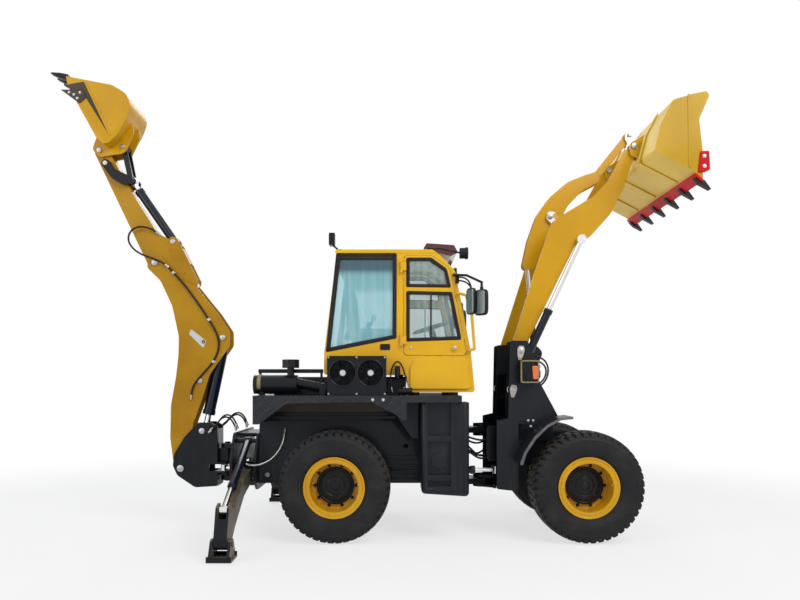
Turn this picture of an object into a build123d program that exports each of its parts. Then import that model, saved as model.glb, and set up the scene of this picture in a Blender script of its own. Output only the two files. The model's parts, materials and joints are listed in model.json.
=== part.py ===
from build123d import *
import math
import os

# Articulated backhoe loader, in millimetres.
# Its own coordinates: x forward from the rear axle, y to the machine's left, z up from the ground.
# save() moves every piece back by ORIGIN_X, so that the origin lies under the middle of the machine.

# Driving dimensions
# half way between the tips of the two buckets' teeth, measured from the rear axle
ORIGIN_X = 279.3
WHEELBASE = 2460
HALF_TRACK = 760
TYRE_RADIUS = 545
TYRE_WIDTH = 420
BEAD_RADIUS = 256
FLANGE_RADIUS = 298
RIM_HALF_WIDTH = 180
RIM_INNER_RADIUS = 236
HUB_RADIUS = 185
HUB_INSET = 160
AXLE_RADIUS = 85
AXLE_Z = TYRE_RADIUS

FIT = 0.3
PIN_GAP = 0.5
SIDE_GAP = 6
PLATE = 25

# Rear frame
FRAME_HALF = 450
FRAME_REAR = -810
FRAME_FRONT = 1210
FRAME_LOW = 525
FRAME_ARCH = 705
DECK_LOW = 1370
DECK_TOP = 1435
DECK_HALF = 930
DECK_REAR = -785
DECK_FRONT = 1234
SKIRT = 16
LOUVRE_COUNT = 6
STEP_FRONT = 1310
LEDGE_Z = 1168
FIN_COUNT = 6

TIE_DOWNS = [(-730, 610), (700, 905)]
TIE_RADIUS = 25

# Centre articulation
PIVOT_X = 1530
PIVOT_PIN = 35
HITCH_EAR = 60
HITCH_TOP_Z = 1050
HITCH_LOW_Z = 500
STEER_Z = 640
STEER_BASE = (960, -300)
STEER_EYE = (1650, -260)

# Cab
CAB_HALF = 720
CAB_WALL = 40
CAB_LOW = 1465
CAB_STEP = 1640
ROOF_LOW = 2848
ROOF_TOP = 2884
GLASS = 6
DOOR_HINGE = (652, 742)
HINGE_HEIGHTS = (1984, 2712)

# Backhoe pins, x and z
SWING_X = -1240
SWING_PIN = 30
POST_IN = 110
POST_OUT = 135
EAR_HALF = 70
SWING_BASE = (-600, 250)
SWING_EYE = (-1250, 120)
SWING_Z = 645
SWING_EYE_WIDTH = 60
BOOM_FOOT = (-1715, 638)
BOOM_BASE = (-1485, 1041)
BOOM_KNEE = (-1270, 2045)
DIPPER_BASE = (-1515, 1577)
STICK_PIN = (-2003, 2854)
STICK_TAIL = (-1605, 2629)
CURL_BASE = (-1816, 3087)
ROCKER_PIN = (-2528, 3920)
CURL_EYE = (-2276, 3753)
DIG_PIN = (-2602, 4067)
DIG_LINK = (-2352, 4108)
BOOM_IN = 80
BOOM_OUT = 100
STICK_IN = 50
STICK_OUT = 74
DIG_HALF = 260

# Loader pins, x and z
LIFT_PIN = (1859, 1884)
LIFT_BASE = (1786, 1490)
LIFT_EYE = (2496, 3024)
LIFT_Y = 498
ARM_IN = 405
ARM_OUT = 445
TILT_BASE = (2110, 1900)
CRANK_LOW = (2029, 2837)
CRANK_PIN = (2262, 3352)
CRANK_TOP = (2767, 3789)
BUCKET_LINK = (3132, 4245)
BUCKET_PIN = (3040, 3986)
BUCKET_HALF = 1000

# Stabilisers: outward distance from the middle, and z
LEG_X = -930
LEG_PIN = (560, 620)
LEG_BASE = (430, 960)
LEG_EYE = (1480, 430)
PAD_PIN = (1560, 150)
PAD_LOW = 12


def corner_radii(corners):
    """Corner radii, each held under the room that its two sides leave."""
    radii = []
    for i, (u, v, radius) in enumerate(corners):
        last = corners[i - 1]
        following = corners[(i + 1) % len(corners)]
        back = math.hypot(last[0] - u, last[1] - v)
        ahead = math.hypot(following[0] - u, following[1] - v)
        inside = ((last[0] - u) * (following[0] - u) + (last[1] - v) * (following[1] - v)) / (back * ahead)
        half_angle = math.acos(max(-1, min(1, inside))) / 2
        room = 0.47 * min(back, ahead) * math.tan(half_angle)
        radii.append(min(radius, room))
    return radii


def outlined(corners, place):
    """Face through (u, v, corner radius) points, each put in space by place(u, v)."""
    points = [place(u, v) for u, v, radius in corners]
    return make_face(FilletPolyline(*points, radius=corner_radii(corners), close=True))


def plate(corners, low, high):
    """Flat plate through (x, z, corner radius) points, from y = low to y = high."""
    face = outlined(corners, lambda x, z: (x, low, z))
    return extrude(face, amount=high - low, dir=(0, 1, 0))


def plan_plate(corners, low, high):
    """Flat level plate through (x, y, corner radius) points, from z = low to z = high."""
    face = outlined(corners, lambda x, y: (x, y, low))
    return extrude(face, amount=high - low, dir=(0, 0, 1))


def cross_plate(corners, low, high):
    """Flat upright plate through (y, z, corner radius) points, from x = low to x = high."""
    face = outlined(corners, lambda y, z: (low, y, z))
    return extrude(face, amount=high - low, dir=(1, 0, 0))


def span(side, near, far):
    """Low and high y of a stretch that runs outward on one side."""
    return min(side * near, side * far), max(side * near, side * far)


def block(x_low, x_high, y_low, y_high, z_low, z_high):
    """Box between the given limits."""
    middle = ((x_low + x_high) / 2, (y_low + y_high) / 2, (z_low + z_high) / 2)
    return Pos(*middle) * Box(x_high - x_low, y_high - y_low, z_high - z_low)


def bar_y(pin, radius, low, high):
    """Round bar across the machine at pin (x, z)."""
    return Pos(pin[0], (low + high) / 2, pin[1]) * Rot(90, 0, 0) * Cylinder(radius, high - low)


def bar_x(y, z, radius, low, high):
    """Round bar along the machine."""
    return Pos((low + high) / 2, y, z) * Rot(0, 90, 0) * Cylinder(radius, high - low)


def bar_z(x, y, radius, low, high):
    """Upright round bar."""
    return Pos(x, y, (low + high) / 2) * Cylinder(radius, high - low)


def strut(start, end, radius):
    """Round bar between two points."""
    start = Vector(*start)
    end = Vector(*end)
    plane = Plane(origin=start, z_dir=end - start)
    return plane * Cylinder(radius, (end - start).length, align=(Align.CENTER, Align.CENTER, Align.MIN))


def between(first, last, distance):
    """Point in the middle plane, so far from the first of two (x, z) pins towards the last."""
    size = math.hypot(last[0] - first[0], last[1] - first[1])
    return (
        first[0] + (last[0] - first[0]) * distance / size,
        0,
        first[1] + (last[1] - first[1]) * distance / size,
    )


def mirrored(shape):
    """The same shape on the other side of the machine."""
    return mirror(shape, about=Plane.XZ)


def both(shape):
    """Shape and its mirror image, as a list."""
    return [shape, mirrored(shape)]


def joined(pieces):
    """All pieces as one shape."""
    body = pieces[0]
    for piece in pieces[1:]:
        body = body + piece
    return body


def inset(corners, walls):
    """Inner outline: each side moves in by its wall, or out where the wall is negative."""
    count = len(corners)
    area = sum(
        corners[i][0] * corners[(i + 1) % count][1] - corners[(i + 1) % count][0] * corners[i][1]
        for i in range(count)
    )
    turn = 1 if area > 0 else -1
    lines = []
    for i in range(count):
        x, z = corners[i][:2]
        dx = corners[(i + 1) % count][0] - x
        dz = corners[(i + 1) % count][1] - z
        size = math.hypot(dx, dz)
        nx = -dz / size * turn
        nz = dx / size * turn
        lines.append((nx, nz, nx * x + nz * z + walls[i]))
    inner = []
    for i in range(count):
        a1, b1, c1 = lines[i - 1]
        a2, b2, c2 = lines[i]
        det = a1 * b2 - a2 * b1
        x = (c1 * b2 - c2 * b1) / det
        z = (a1 * c2 - a2 * c1) / det
        wall = max(walls[i - 1], walls[i])
        inner.append((x, z, max(corners[i][2] - max(wall, 0), 0)))
    return inner


def save(name, pieces):
    """Write one node's STEP file, moved to the machine's origin."""
    shape = Compound(children=[piece for piece in as_solids(pieces)])
    export_step(shape.moved(Location((-ORIGIN_X, 0, 0))), "parts/" + name + ".step")


def as_solids(pieces):
    """Flat list of solids."""
    found = []
    for piece in pieces if isinstance(pieces, list) else [pieces]:
        found += [solid for solid in piece.solids()]
    return found


# Hydraulic cylinders
def cylinder_frame(base, eye, across):
    """Plane at the base pin with z along the cylinder and x along its pins."""
    base = Vector(*base)
    eye = Vector(*eye)
    return Plane(origin=base, x_dir=Vector(*across), z_dir=eye - base), (eye - base).length


def hydraulic(base, eye, across, barrel, rod, reach, eye_width, pin, eye_radius, closing=0):
    """Tube with its base eye and gland, and rod with a closed eye that stands free of its pin."""
    frame, length = cylinder_frame(base, eye, across)
    turned = Rot(0, 90, 0)
    start = eye_radius + SIDE_GAP
    up = (Align.CENTER, Align.CENTER, Align.MIN)
    tube = Pos(0, 0, start) * Cylinder(barrel, reach - start, align=up)
    tube = tube + Pos(0, 0, eye_radius * 0.7) * Cylinder(min(barrel, eye_width / 2) - 2, 30, align=up)
    tube = tube + Pos(0, 0, reach - 45) * Cylinder(barrel + 6, 45, align=up)
    tube = tube + turned * Cylinder(eye_radius, eye_width)
    tube = tube - turned * Cylinder(pin + PIN_GAP, eye_width + 2)
    tube = tube - Pos(0, 0, eye_radius + 20) * Cylinder(rod + PIN_GAP, reach, align=up)
    inner = eye_radius + 25 + closing
    shaft = Pos(0, 0, inner) * Cylinder(rod, length - inner, align=up)
    shaft = shaft + Pos(0, 0, length) * turned * Cylinder(eye_radius, eye_width)
    return frame * tube, frame * shaft


def upright_hydraulic(base, eye, y, **sizes):
    """Cylinder in the upright plane at y, between pins (x, z)."""
    return hydraulic((base[0], y, base[1]), (eye[0], y, eye[1]), (0, 1, 0), **sizes)


# Wheels
def tyre(x, side):
    """Tyre as a ring open towards the rim, to the tips of its lugs."""
    half = TYRE_WIDTH / 2
    section = [
        (BEAD_RADIUS + FIT, -RIM_HALF_WIDTH + 14, 0),
        (FLANGE_RADIUS + 5, -RIM_HALF_WIDTH + 14, 8),
        (TYRE_RADIUS - 190, -half, 60),
        (TYRE_RADIUS - 35, -half + 4, 12),
        (TYRE_RADIUS, -half + 40, 8),
        (TYRE_RADIUS, half - 40, 8),
        (TYRE_RADIUS - 35, half - 4, 12),
        (TYRE_RADIUS - 190, half, 60),
        (FLANGE_RADIUS + 5, RIM_HALF_WIDTH - 14, 8),
        (BEAD_RADIUS + FIT, RIM_HALF_WIDTH - 14, 0),
        (BEAD_RADIUS + FIT, RIM_HALF_WIDTH - 54, 0),
        (TYRE_RADIUS - 150, half - 40, 60),
        (TYRE_RADIUS - 60, half - 60, 30),
        (TYRE_RADIUS - 60, -half + 60, 30),
        (TYRE_RADIUS - 150, -half + 40, 60),
        (BEAD_RADIUS + FIT, -RIM_HALF_WIDTH + 54, 0),
    ]
    return turned_wheel(section, x, side)


def turned_wheel(section, x, side):
    """Revolve a (radius, outward distance, corner radius) section about a wheel's axis."""
    face = outlined(section, lambda radius, along: (radius, along * side, 0))
    return Pos(x, side * HALF_TRACK, AXLE_Z) * revolve(face, axis=Axis.Y)


def rim(x, side):
    """Rim with flanges, drop centre, disc and planetary hub."""
    out = RIM_HALF_WIDTH
    section = [
        (FLANGE_RADIUS, -out, 0),
        (FLANGE_RADIUS, -out + 13, 0),
        (BEAD_RADIUS, -out + 13, 0),
        (BEAD_RADIUS, -out + 60, 0),
        (BEAD_RADIUS - 12, -out + 90, 0),
        (BEAD_RADIUS - 12, out - 90, 0),
        (BEAD_RADIUS, out - 60, 0),
        (BEAD_RADIUS, out - 13, 0),
        (FLANGE_RADIUS, out - 13, 0),
        (FLANGE_RADIUS, out, 0),
        (RIM_INNER_RADIUS, out, 8),
        (RIM_INNER_RADIUS, 0, 0),
        (HUB_RADIUS, 0, 0),
        (HUB_RADIUS, 10, 0),
        (HUB_RADIUS - 12, 30, 8),
        (0, 30, 0),
        (0, -HUB_INSET, 0),
        (HUB_RADIUS - 35, -HUB_INSET, 0),
        (HUB_RADIUS - 35, -22, 0),
        (RIM_INNER_RADIUS, -22, 0),
        (RIM_INNER_RADIUS, -out, 8),
    ]
    return turned_wheel(section, x, side)


def axle(x, seat_y, mount_top):
    """Axle beam with its differential housing, hub carriers and spring seats."""
    end = HALF_TRACK - HUB_INSET - FIT
    body = bar_y((x, AXLE_Z), AXLE_RADIUS, -end + 40, end - 40)
    body = body + bar_y((x, AXLE_Z), 140, -110, 110)
    for side in (-1, 1):
        low = min(side * (end - 70), side * end)
        high = max(side * (end - 70), side * end)
        body = body + bar_y((x, AXLE_Z), 140, low, high)
        body = body + block(x - 90, x + 90, side * seat_y - 40, side * seat_y + 40, AXLE_Z, mount_top)
    return body


# Rear frame
def chassis():
    """Side plates, end plates, stabiliser housing, swing ears and articulation ears."""
    side = plate(
        [
            (FRAME_REAR, DECK_LOW, 0), (FRAME_FRONT, DECK_LOW, 0), (FRAME_FRONT, FRAME_LOW, 0),
            (390, FRAME_LOW, 0), (250, FRAME_ARCH, 0), (-250, FRAME_ARCH, 0),
            (-390, FRAME_LOW, 0), (FRAME_REAR, FRAME_LOW, 0),
        ],
        FRAME_HALF - PLATE, FRAME_HALF,
    )
    side = side + block(DECK_REAR + SKIRT + 10, 560, FRAME_HALF - 5, FRAME_HALF + 28, LEDGE_Z - 14, LEDGE_Z)
    for i in range(FIN_COUNT):
        z = FRAME_LOW + 30 + i * 48
        side = side + block(470, 815, FRAME_HALF - 5, FRAME_HALF + 24, z, z + 14)
    for pin in TIE_DOWNS:
        side = side - bar_y(pin, TIE_RADIUS, FRAME_HALF - PLATE - 5, FRAME_HALF + 5)
    body = joined(both(side))
    inner = FRAME_HALF - PLATE
    front = block(FRAME_FRONT - PLATE, FRAME_FRONT, -inner, inner, FRAME_LOW, DECK_LOW)
    front = front - block(FRAME_FRONT - 50, FRAME_FRONT + 50, -390, -140, STEER_Z - 90, STEER_Z + 90)
    body = body + front
    body = body + block(300, 330, -inner, inner, FRAME_ARCH, 1000)
    body = body + stabiliser_housing()
    body = body + swing_ears() + hitch_ears() + steering_anchor()
    for y in (-SWING_BASE[1], SWING_BASE[1]):
        body = body + swing_anchor(y)
    return body


def stabiliser_housing():
    """Two upright plates across the rear that carry the legs, joined by a floor and a roof."""
    shape = [
        (-640, 560, 40), (-640, 800, 60), (-470, 1045, 60), (470, 1045, 60),
        (640, 800, 60), (640, 560, 40), (520, 470, 30), (-520, 470, 30),
    ]
    body = None
    for x in (-1075, FRAME_REAR - PLATE):
        wall = cross_plate(shape, x, x + PLATE)
        for side in (-1, 1):
            low, high = span(side, 70, 320)
            wall = wall - block(x - 5, x + PLATE + 5, low, high, SWING_Z - 60, SWING_Z + 60)
        body = wall if body is None else body + wall
    body = body + block(-1050, FRAME_REAR - PLATE, -300, 300, 1010, 1030)
    body = body + block(-1050, FRAME_REAR - PLATE, -300, 300, 480, 500)
    for y in (-LEG_PIN[0], LEG_PIN[0]):
        body = body + bar_x(y, LEG_PIN[1], 30, -1065, FRAME_REAR - 10)
    for y in (-LEG_BASE[0], LEG_BASE[0]):
        body = body + bar_x(y, LEG_BASE[1], 24, -1065, FRAME_REAR - 10)
    return body


def swing_ears():
    """Two level ears behind the housing that hold the swing post."""
    body = None
    for low in (500, 850):
        ear = plan_plate(
            [
                (SWING_X, -EAR_HALF, 0), (-1110, -EAR_HALF, 0), (-1070, -100, 0),
                (-1070, 100, 0), (-1110, EAR_HALF, 0), (SWING_X, EAR_HALF, 0),
            ],
            low, low + 50,
        )
        ear = ear + bar_z(SWING_X, 0, EAR_HALF, low, low + 50)
        ear = ear - bar_z(SWING_X, 0, SWING_PIN + PIN_GAP, low - 5, low + 55)
        body = ear if body is None else body + ear
    return body


def swing_anchor(y):
    """Cross tube end and pin that hold the base of a swing cylinder."""
    x = SWING_BASE[0]
    gap = SWING_EYE_WIDTH / 2 + SIDE_GAP
    low, high = span(math.copysign(1, y), 200, FRAME_HALF - 10)
    body = bar_z(x, y, 24, SWING_Z - gap - 15, SWING_Z + gap + 15)
    for level in (SWING_Z - gap - 20, SWING_Z + gap):
        body = body + block(x - 45, x + 60, low, high, level, level + 20)
    return body


def hitch_ears():
    """Upper and lower ears of the centre articulation."""
    body = None
    for z in (HITCH_LOW_Z, HITCH_TOP_Z):
        low = z - HITCH_EAR / 2
        high = z + HITCH_EAR / 2
        ear = plan_plate(
            [(FRAME_FRONT - 5, -240, 0), (PIVOT_X, -100, 0), (PIVOT_X, 100, 0), (FRAME_FRONT - 5, 240, 0)],
            low, high,
        )
        ear = ear + bar_z(PIVOT_X, 0, 100, low, high)
        ear = ear - bar_z(PIVOT_X, 0, PIVOT_PIN + PIN_GAP, low - 5, high + 5)
        body = ear if body is None else body + ear
    body = body + block(FRAME_FRONT - PLATE, FRAME_FRONT, -240, 240, HITCH_LOW_Z - 30, FRAME_LOW + 5)
    return body


def steering_anchor():
    """Bracket and pin that hold the base of the steering cylinder."""
    x, y = STEER_BASE
    gap = 38 + SIDE_GAP
    body = bar_z(x, y, 22, STEER_Z - gap - 5, STEER_Z + gap + 5)
    for level in (STEER_Z - gap - 20, STEER_Z + gap):
        body = body + block(x - 50, x + 50, -FRAME_HALF + 10, y + 45, level, level + 20)
    return body


def deck():
    """Deck plate with the skirt of a fender over each rear wheel and a gusset before each step box."""
    body = block(DECK_REAR, DECK_FRONT, -DECK_HALF, DECK_HALF, DECK_LOW, DECK_TOP)
    skirt = plate(
        [
            (DECK_REAR, DECK_TOP, 0), (DECK_REAR, 1158, 0), (-730, 1158, 0), (-655, 1213, 60),
            (-458, 1360, 60), (359, 1375, 60), (599, 1253, 60), (654, 1198, 0), (700, 1198, 0),
            (700, DECK_TOP, 0),
        ],
        DECK_HALF - SKIRT, DECK_HALF,
    )
    end = block(DECK_REAR, DECK_REAR + SKIRT, FRAME_HALF + FIT, DECK_HALF, 1158, DECK_TOP)
    gusset = plate([(582, DECK_TOP, 0), (822, DECK_TOP, 0), (816, 1010, 0), (758, 1010, 0), (599, 1237, 0)],
                   700, 716)
    brace = block(582, 594, FRAME_HALF + FIT, 710, 1240, DECK_TOP)
    for piece in skirt, end, gusset, brace:
        body = joined([body] + both(piece))
    for side in (-1, 1):
        for x in (790, 1180):
            body = body + bar_z(x, side * 600, 45, DECK_TOP - 5, CAB_LOW)
    return body


def engine_cover():
    """Raised cover over the engine, under the rear of the cab."""
    body = block(-640, 700, -560, 560, DECK_TOP, CAB_STEP - 20)
    body = fillet(body.edges().filter_by(Axis.X).group_by(Axis.Z)[-1], 30)
    for i in range(LOUVRE_COUNT):
        z = DECK_TOP + 30 + i * 22
        body = body - block(-645, -630, -330, 330, z, z + 9)
        for side in (-1, 1):
            low, high = span(side, 550, 565)
            body = body - block(-560, -180, low, high, z, z + 9)
    for side in (-1, 1):
        for x in (-50, 630):
            body = body + bar_z(x, side * 480, 45, CAB_STEP - 25, CAB_STEP)
    return body


def engine():
    """Engine and pump as one plain block between the side plates."""
    return block(-640, 280, -300, 300, 735, DECK_LOW)


def step_box(side):
    """Tank box beside the frame, with a ladder recessed into its face."""
    inner = 575
    outer = 900
    low = min(side * inner, side * outer)
    high = max(side * inner, side * outer)
    shape = plate(
        [(835, 1368, 0), (STEP_FRONT, 1368, 0), (STEP_FRONT, 450, 40), (845, 480, 40)],
        low, high,
    )
    edges = shape.edges().filter_by(Axis.Z)
    corner = [e for e in edges if e.center().X > STEP_FRONT - 20 and abs(e.center().Y) > 800]
    shape = fillet(corner, 50)
    face = side * (outer - 45)
    cut_low = min(face, side * (outer + 5))
    cut_high = max(face, side * (outer + 5))
    shape = shape - block(905, 1128, cut_low, cut_high, 560, 1365)
    for z in (640, 1020):
        shape = shape + block(900, 1133, min(face, side * (outer - 5)), max(face, side * (outer - 5)),
                              z - 28, z + 28)
    low, high = span(side, outer - 60, outer - 20)
    shape = shape + bar_y((1016, 801), 74, low, high)
    bracket_low = min(side * (FRAME_HALF - 5), side * (inner + 5))
    bracket_high = max(side * (FRAME_HALF - 5), side * (inner + 5))
    shape = shape + block(880, 1180, side * FRAME_HALF if side > 0 else bracket_low + 5,
                          bracket_high if side > 0 else side * FRAME_HALF, 1150, 1200)
    return shape


# Cab
def cab_outline():
    """Side outline of the cab."""
    return [
        (-117, CAB_STEP, 20), (-117, 1849, 0), (10, ROOF_LOW, 0), (1016, ROOF_LOW, 60),
        (1186, 2672, 90), (1343, 1857, 0), (1382, CAB_LOW, 30), (740, CAB_LOW, 20), (700, CAB_STEP, 20),
    ]


SIDE_WINDOW = [(25, 2805, 30), (590, 2805, 30), (590, 2010, 30), (-78, 1885, 30)]
DOOR = [(678, 2822, 40), (950, 2822, 60), (1128, 2700, 90), (1304, 1833, 40), (678, 1833, 40)]
DOOR_TOP_PANE = [(722, 2782, 20), (930, 2782, 40), (1086, 2676, 60), (1122, 2520, 20), (722, 2530, 20)]
DOOR_LOW_PANE = [(722, 2450, 25), (1136, 2440, 25), (1228, 2010, 25), (722, 1990, 25)]
SIDE_PANEL = [(735, 1492, 40), (1345, 1492, 40), (1318, 1740, 60), (1290, 1806, 60), (775, 1806, 40),
              (735, 1700, 40)]
FRONT_SILL = 1900
FRONT_HEAD = 2640


def cab_shell():
    """Hollow cab with its windows and door openings cut."""
    outline = cab_outline()
    body = plate(outline, -CAB_HALF, CAB_HALF)
    room = inset(outline, [CAB_WALL] * len(outline))
    body = body - plate(room, -CAB_HALF + CAB_WALL, CAB_HALF - CAB_WALL)
    body = body - plate(SIDE_WINDOW, -CAB_HALF - 5, CAB_HALF + 5)
    body = body - plate(inset(DOOR, [-5] * len(DOOR)), -CAB_HALF - 5, CAB_HALF + 5)
    for shape in front_window(), rear_window():
        body = body - shape
    panel = plate(SIDE_PANEL, CAB_HALF - 5, CAB_HALF + 22)
    panel = fillet(panel.faces().sort_by(Axis.Y)[-1].edges(), 14)
    body = joined([body] + both(panel))
    for side in (-1, 1):
        low, high = span(side, CAB_HALF - 1, DOOR_HINGE[1] + 14)
        for z in HINGE_HEIGHTS:
            for level in (z - 60, z + 40 + FIT):
                x = DOOR_HINGE[0]
                body = body + block(x - 14, x + 14, low, high, level, level + 20 - FIT)
    return body


def slope(point_low, point_high, z):
    """x on the line between two (x, z) points."""
    share = (z - point_low[1]) / (point_high[1] - point_low[1])
    return point_low[0] + share * (point_high[0] - point_low[0])


def front_window():
    """Cutter for the windscreen."""
    half = CAB_HALF - 60
    low = slope((1343, 1857), (1186, 2672), FRONT_SILL)
    high = slope((1343, 1857), (1186, 2672), FRONT_HEAD)
    corners = [(low - 90, FRONT_SILL, 0), (low + 90, FRONT_SILL, 0), (high + 90, FRONT_HEAD, 0),
               (high - 90, FRONT_HEAD, 0)]
    return plate(corners, -half, half)


def rear_window():
    """Cutter for the rear window."""
    half = CAB_HALF - 60
    low = slope((-117, 1849), (10, ROOF_LOW), 1900)
    high = slope((-117, 1849), (10, ROOF_LOW), 2780)
    corners = [(low - 90, 1900, 0), (low + 90, 1900, 0), (high + 90, 2780, 0), (high - 90, 2780, 0)]
    return plate(corners, -half, half)


def cab_roof():
    """Roof cap with its rounded front."""
    corners = [(-6, ROOF_LOW, 0), (-2, ROOF_TOP, 12), (960, ROOF_TOP, 40), (1012, ROOF_LOW, 0)]
    return plate(corners, -CAB_HALF - 4, CAB_HALF + 4)


def cab_glass():
    """Windscreen, rear window and side windows as panes in their openings."""
    half = CAB_HALF - 60 - FIT
    panes = []
    for low, high, sill, head, shift in (
        ((1343, 1857), (1186, 2672), FRONT_SILL + FIT, FRONT_HEAD - FIT, -24),
        ((-117, 1849), (10, ROOF_LOW), 1900 + FIT, 2780 - FIT, 18),
    ):
        first = slope(low, high, sill) + shift
        last = slope(low, high, head) + shift
        corners = [(first, sill, 0), (first + GLASS, sill, 0), (last + GLASS, head, 0), (last, head, 0)]
        panes.append(plate(corners, -half, half))
    side = plate(inset(SIDE_WINDOW, [FIT] * 4), CAB_HALF - 20, CAB_HALF - 20 + GLASS)
    return panes + both(side)


def door(side):
    """Door with two panes seated in its openings."""
    low = min(side * (CAB_HALF - 32), side * (CAB_HALF + 4))
    high = max(side * (CAB_HALF - 32), side * (CAB_HALF + 4))
    frame = plate(DOOR, low, high)
    panes = []
    for pane in (DOOR_TOP_PANE, DOOR_LOW_PANE):
        frame = frame - plate(pane, low - 5, high + 5)
        glass_low = min(side * (CAB_HALF - 16), side * (CAB_HALF - 16 + GLASS))
        panes.append(plate(inset(pane, [FIT] * len(pane)), glass_low, glass_low + GLASS))
    for z in HINGE_HEIGHTS:
        frame = frame + bar_z(DOOR_HINGE[0], side * DOOR_HINGE[1], 14, z - 40, z + 40)
        near, far = span(side, CAB_HALF + FIT, DOOR_HINGE[1] + 10)
        frame = frame + block(DOOR_HINGE[0], 700, near, far, z - 40, z + 40)
    frame = frame + bar_y((1180, 1905), 28, min(side * 720, side * 745), max(side * 720, side * 745))
    return [frame] + panes


def operator_station():
    """Floor, seat pedestal and the two consoles with their levers."""
    floor = CAB_STEP + CAB_WALL
    body = block(-60, 690, -660, 660, floor, floor + 12)
    body = body + block(180, 520, -190, 190, floor + 5, 1900)
    body = body + block(150, 600, -230, 230, 1880, 1900)
    for side in (-1, 1):
        y = side * 340
        body = body + block(150, 640, y - 55, y + 55, floor + 5, 2120)
        body = body + strut((600, y, 2100), (640, y, 2260), 14)
    return body


def seat():
    """Seat cushion with the backrest that stands on it."""
    cushion = fillet(block(130, 640, -260, 260, 1900, 2010).edges(), 35)
    back = plate([(95, 2010, 0), (205, 2010, 0), (160, 2560, 40), (50, 2560, 40)], -240, 240)
    return [cushion, back]


def steering_column():
    """Steering column with its wheel."""
    body = strut((1175, 0, 1530), (978, 0, 2150), 35)
    body = body + block(1090, 1250, -90, 90, CAB_LOW + CAB_WALL, 1560)
    ring = Pos(975, 0, 2155) * Rot(0, -17, 0) * Torus(190, 14)
    spoke = Pos(975, 0, 2155) * Rot(0, -17, 0) * Box(375, 30, 12)
    return body + ring + spoke


def cab_fittings():
    """Roof box, work lamps, mirror arms with their heads and grab rails."""
    box = plate([(879, 2945, 10), (915, 3003, 15), (1199, 2984, 15), (1241, 2907, 15), (1162, 2868, 10)],
                -420, 420)
    for side in (-1, 1):
        low, high = span(side, 260, 340)
        box = box + block(890, 950, low, high, ROOF_TOP, 2960)
    pieces = [box]
    for side in (-1, 1):
        pieces += [mirror_arm(side), grab_rail(side), front_work_lamp(side), rear_work_lamp(side)]
    return pieces


def front_work_lamp(side):
    """Round work lamp on an arm from the roof."""
    y = side * 660
    body = block(905, 945, y - 25, y + 25, ROOF_TOP, ROOF_TOP + 22)
    points = [(925, y, 2897), (1040, y, 2904), (1240, y, 2860)]
    body = body + strut(points[0], points[1], 9) + Pos(*points[1]) * Sphere(9) + (
        strut(points[1], points[2], 9)
    )
    return body + bar_x(y, 2856, 54, 1236, 1290) + bar_x(y, 2856, 60, 1290, 1317)


def rear_work_lamp(side):
    """Upright work lamp on a bent foot at the back of the roof."""
    y = side * 640
    body = block(0, 60, y - 30, y + 30, ROOF_TOP, ROOF_TOP + 12)
    body = body + strut((20, y, ROOF_TOP + 8), (-42, y, 2945), 9)
    return body + block(-70, -14, y - 48, y + 48, 2935, 3057)


def mirror_arm(side):
    """Bent arm from the front post with the mirror head on it."""
    y = side * (CAB_HALF + 30)
    out = side * 1000
    points = [(1170, y, 2628), (1290, side * 820, 2612), (1415, out, 2520), (1415, out, 2440)]
    body = strut((1170, side * CAB_HALF, 2628), points[0], 14) + Pos(*points[0]) * Sphere(14)
    for start, end in zip(points, points[1:]):
        body = body + strut(start, end, 12) + Pos(*end) * Sphere(12)
    body = body + block(1380, 1440, out - 85, out + 85, 2205, 2450)
    return body


def grab_rail(side):
    """Tube along the windscreen post."""
    y = side * (CAB_HALF + 45)
    points = [
        (1212, side * CAB_HALF, 2443), (1212, y, 2443), (1290, y, 2425), (1346, y, 2231), (1372, y, 1895),
        (1324, y, 1880), (1324, side * CAB_HALF, 1880),
    ]
    body = strut(points[0], points[1], 14)
    for start, end in zip(points[1:], points[2:]):
        body = body + Pos(*start) * Sphere(14) + strut(start, end, 14)
    return body


def cooler():
    """Cooler housing beside the cab with its two fan openings."""
    body = block(-74, 503, -860, -735, DECK_TOP, 1822)
    for x in (78, 350):
        body = body - bar_y((x, 1656), 122, -870, -770)
    return body


def receiver():
    """Lying receiver can on the deck and a filter canister on the cab's side."""
    can = fillet(bar_x(-800, 1476, 34, 617, 758).edges(), 8)
    for x in (650, 725):
        can = can + block(x - 10, x + 10, -820, -780, DECK_TOP, 1470)
    canister = bar_z(613, -768, 26, 1629, 1725) + bar_z(613, -768, 16, 1600, 1640)
    canister = canister + block(600, 626, -760, -CAB_HALF, 1650, 1700)
    return [can, canister]


def cooler_fans():
    """Two fans, each a hub with seven blades inside its opening."""
    fans = []
    for x in (78, 350):
        fan = bar_y((x, 1656), 36, -852, -769.7)
        for i in range(7):
            blade = Pos(70, 0, 0) * Rot(35, 0, 0) * Box(92, 44, 5)
            blade = Rot(0, i * 360 / 7, 0) * blade
            fan = fan + Pos(x, -815, 1656) * blade
        fans.append(fan)
    return fans


def air_cleaner():
    """Air cleaner can with its strap, bracket, duct and pre-cleaner."""
    y = -700
    z = 1543
    body = bar_x(y, z, 95, -811, -382)
    body = body + block(-754, -715, y - 60, y + 60, DECK_TOP, z)
    body = body + bar_z(-450, y, 35, z, 1720)
    body = body + bar_z(-450, y, 84, 1707, 1790)
    body = body + bar_x(y, z, 101, -770, -735)
    body = body + strut((-400, y, 1560), (-90, y, 1500), 50)
    body = body + block(-160, -100, y - 60, y + 60, DECK_TOP, 1510)
    return body


def guard_rail():
    """Flat rail over the air cleaner, on two posts from the deck."""
    y = -580
    body = block(-794, -137, y - 8, y + 8, 1657, 1697)
    for x in (-775, -156):
        body = body + block(x - 12, x + 12, y - 8, y + 8, DECK_TOP, 1660)
    return body


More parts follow.
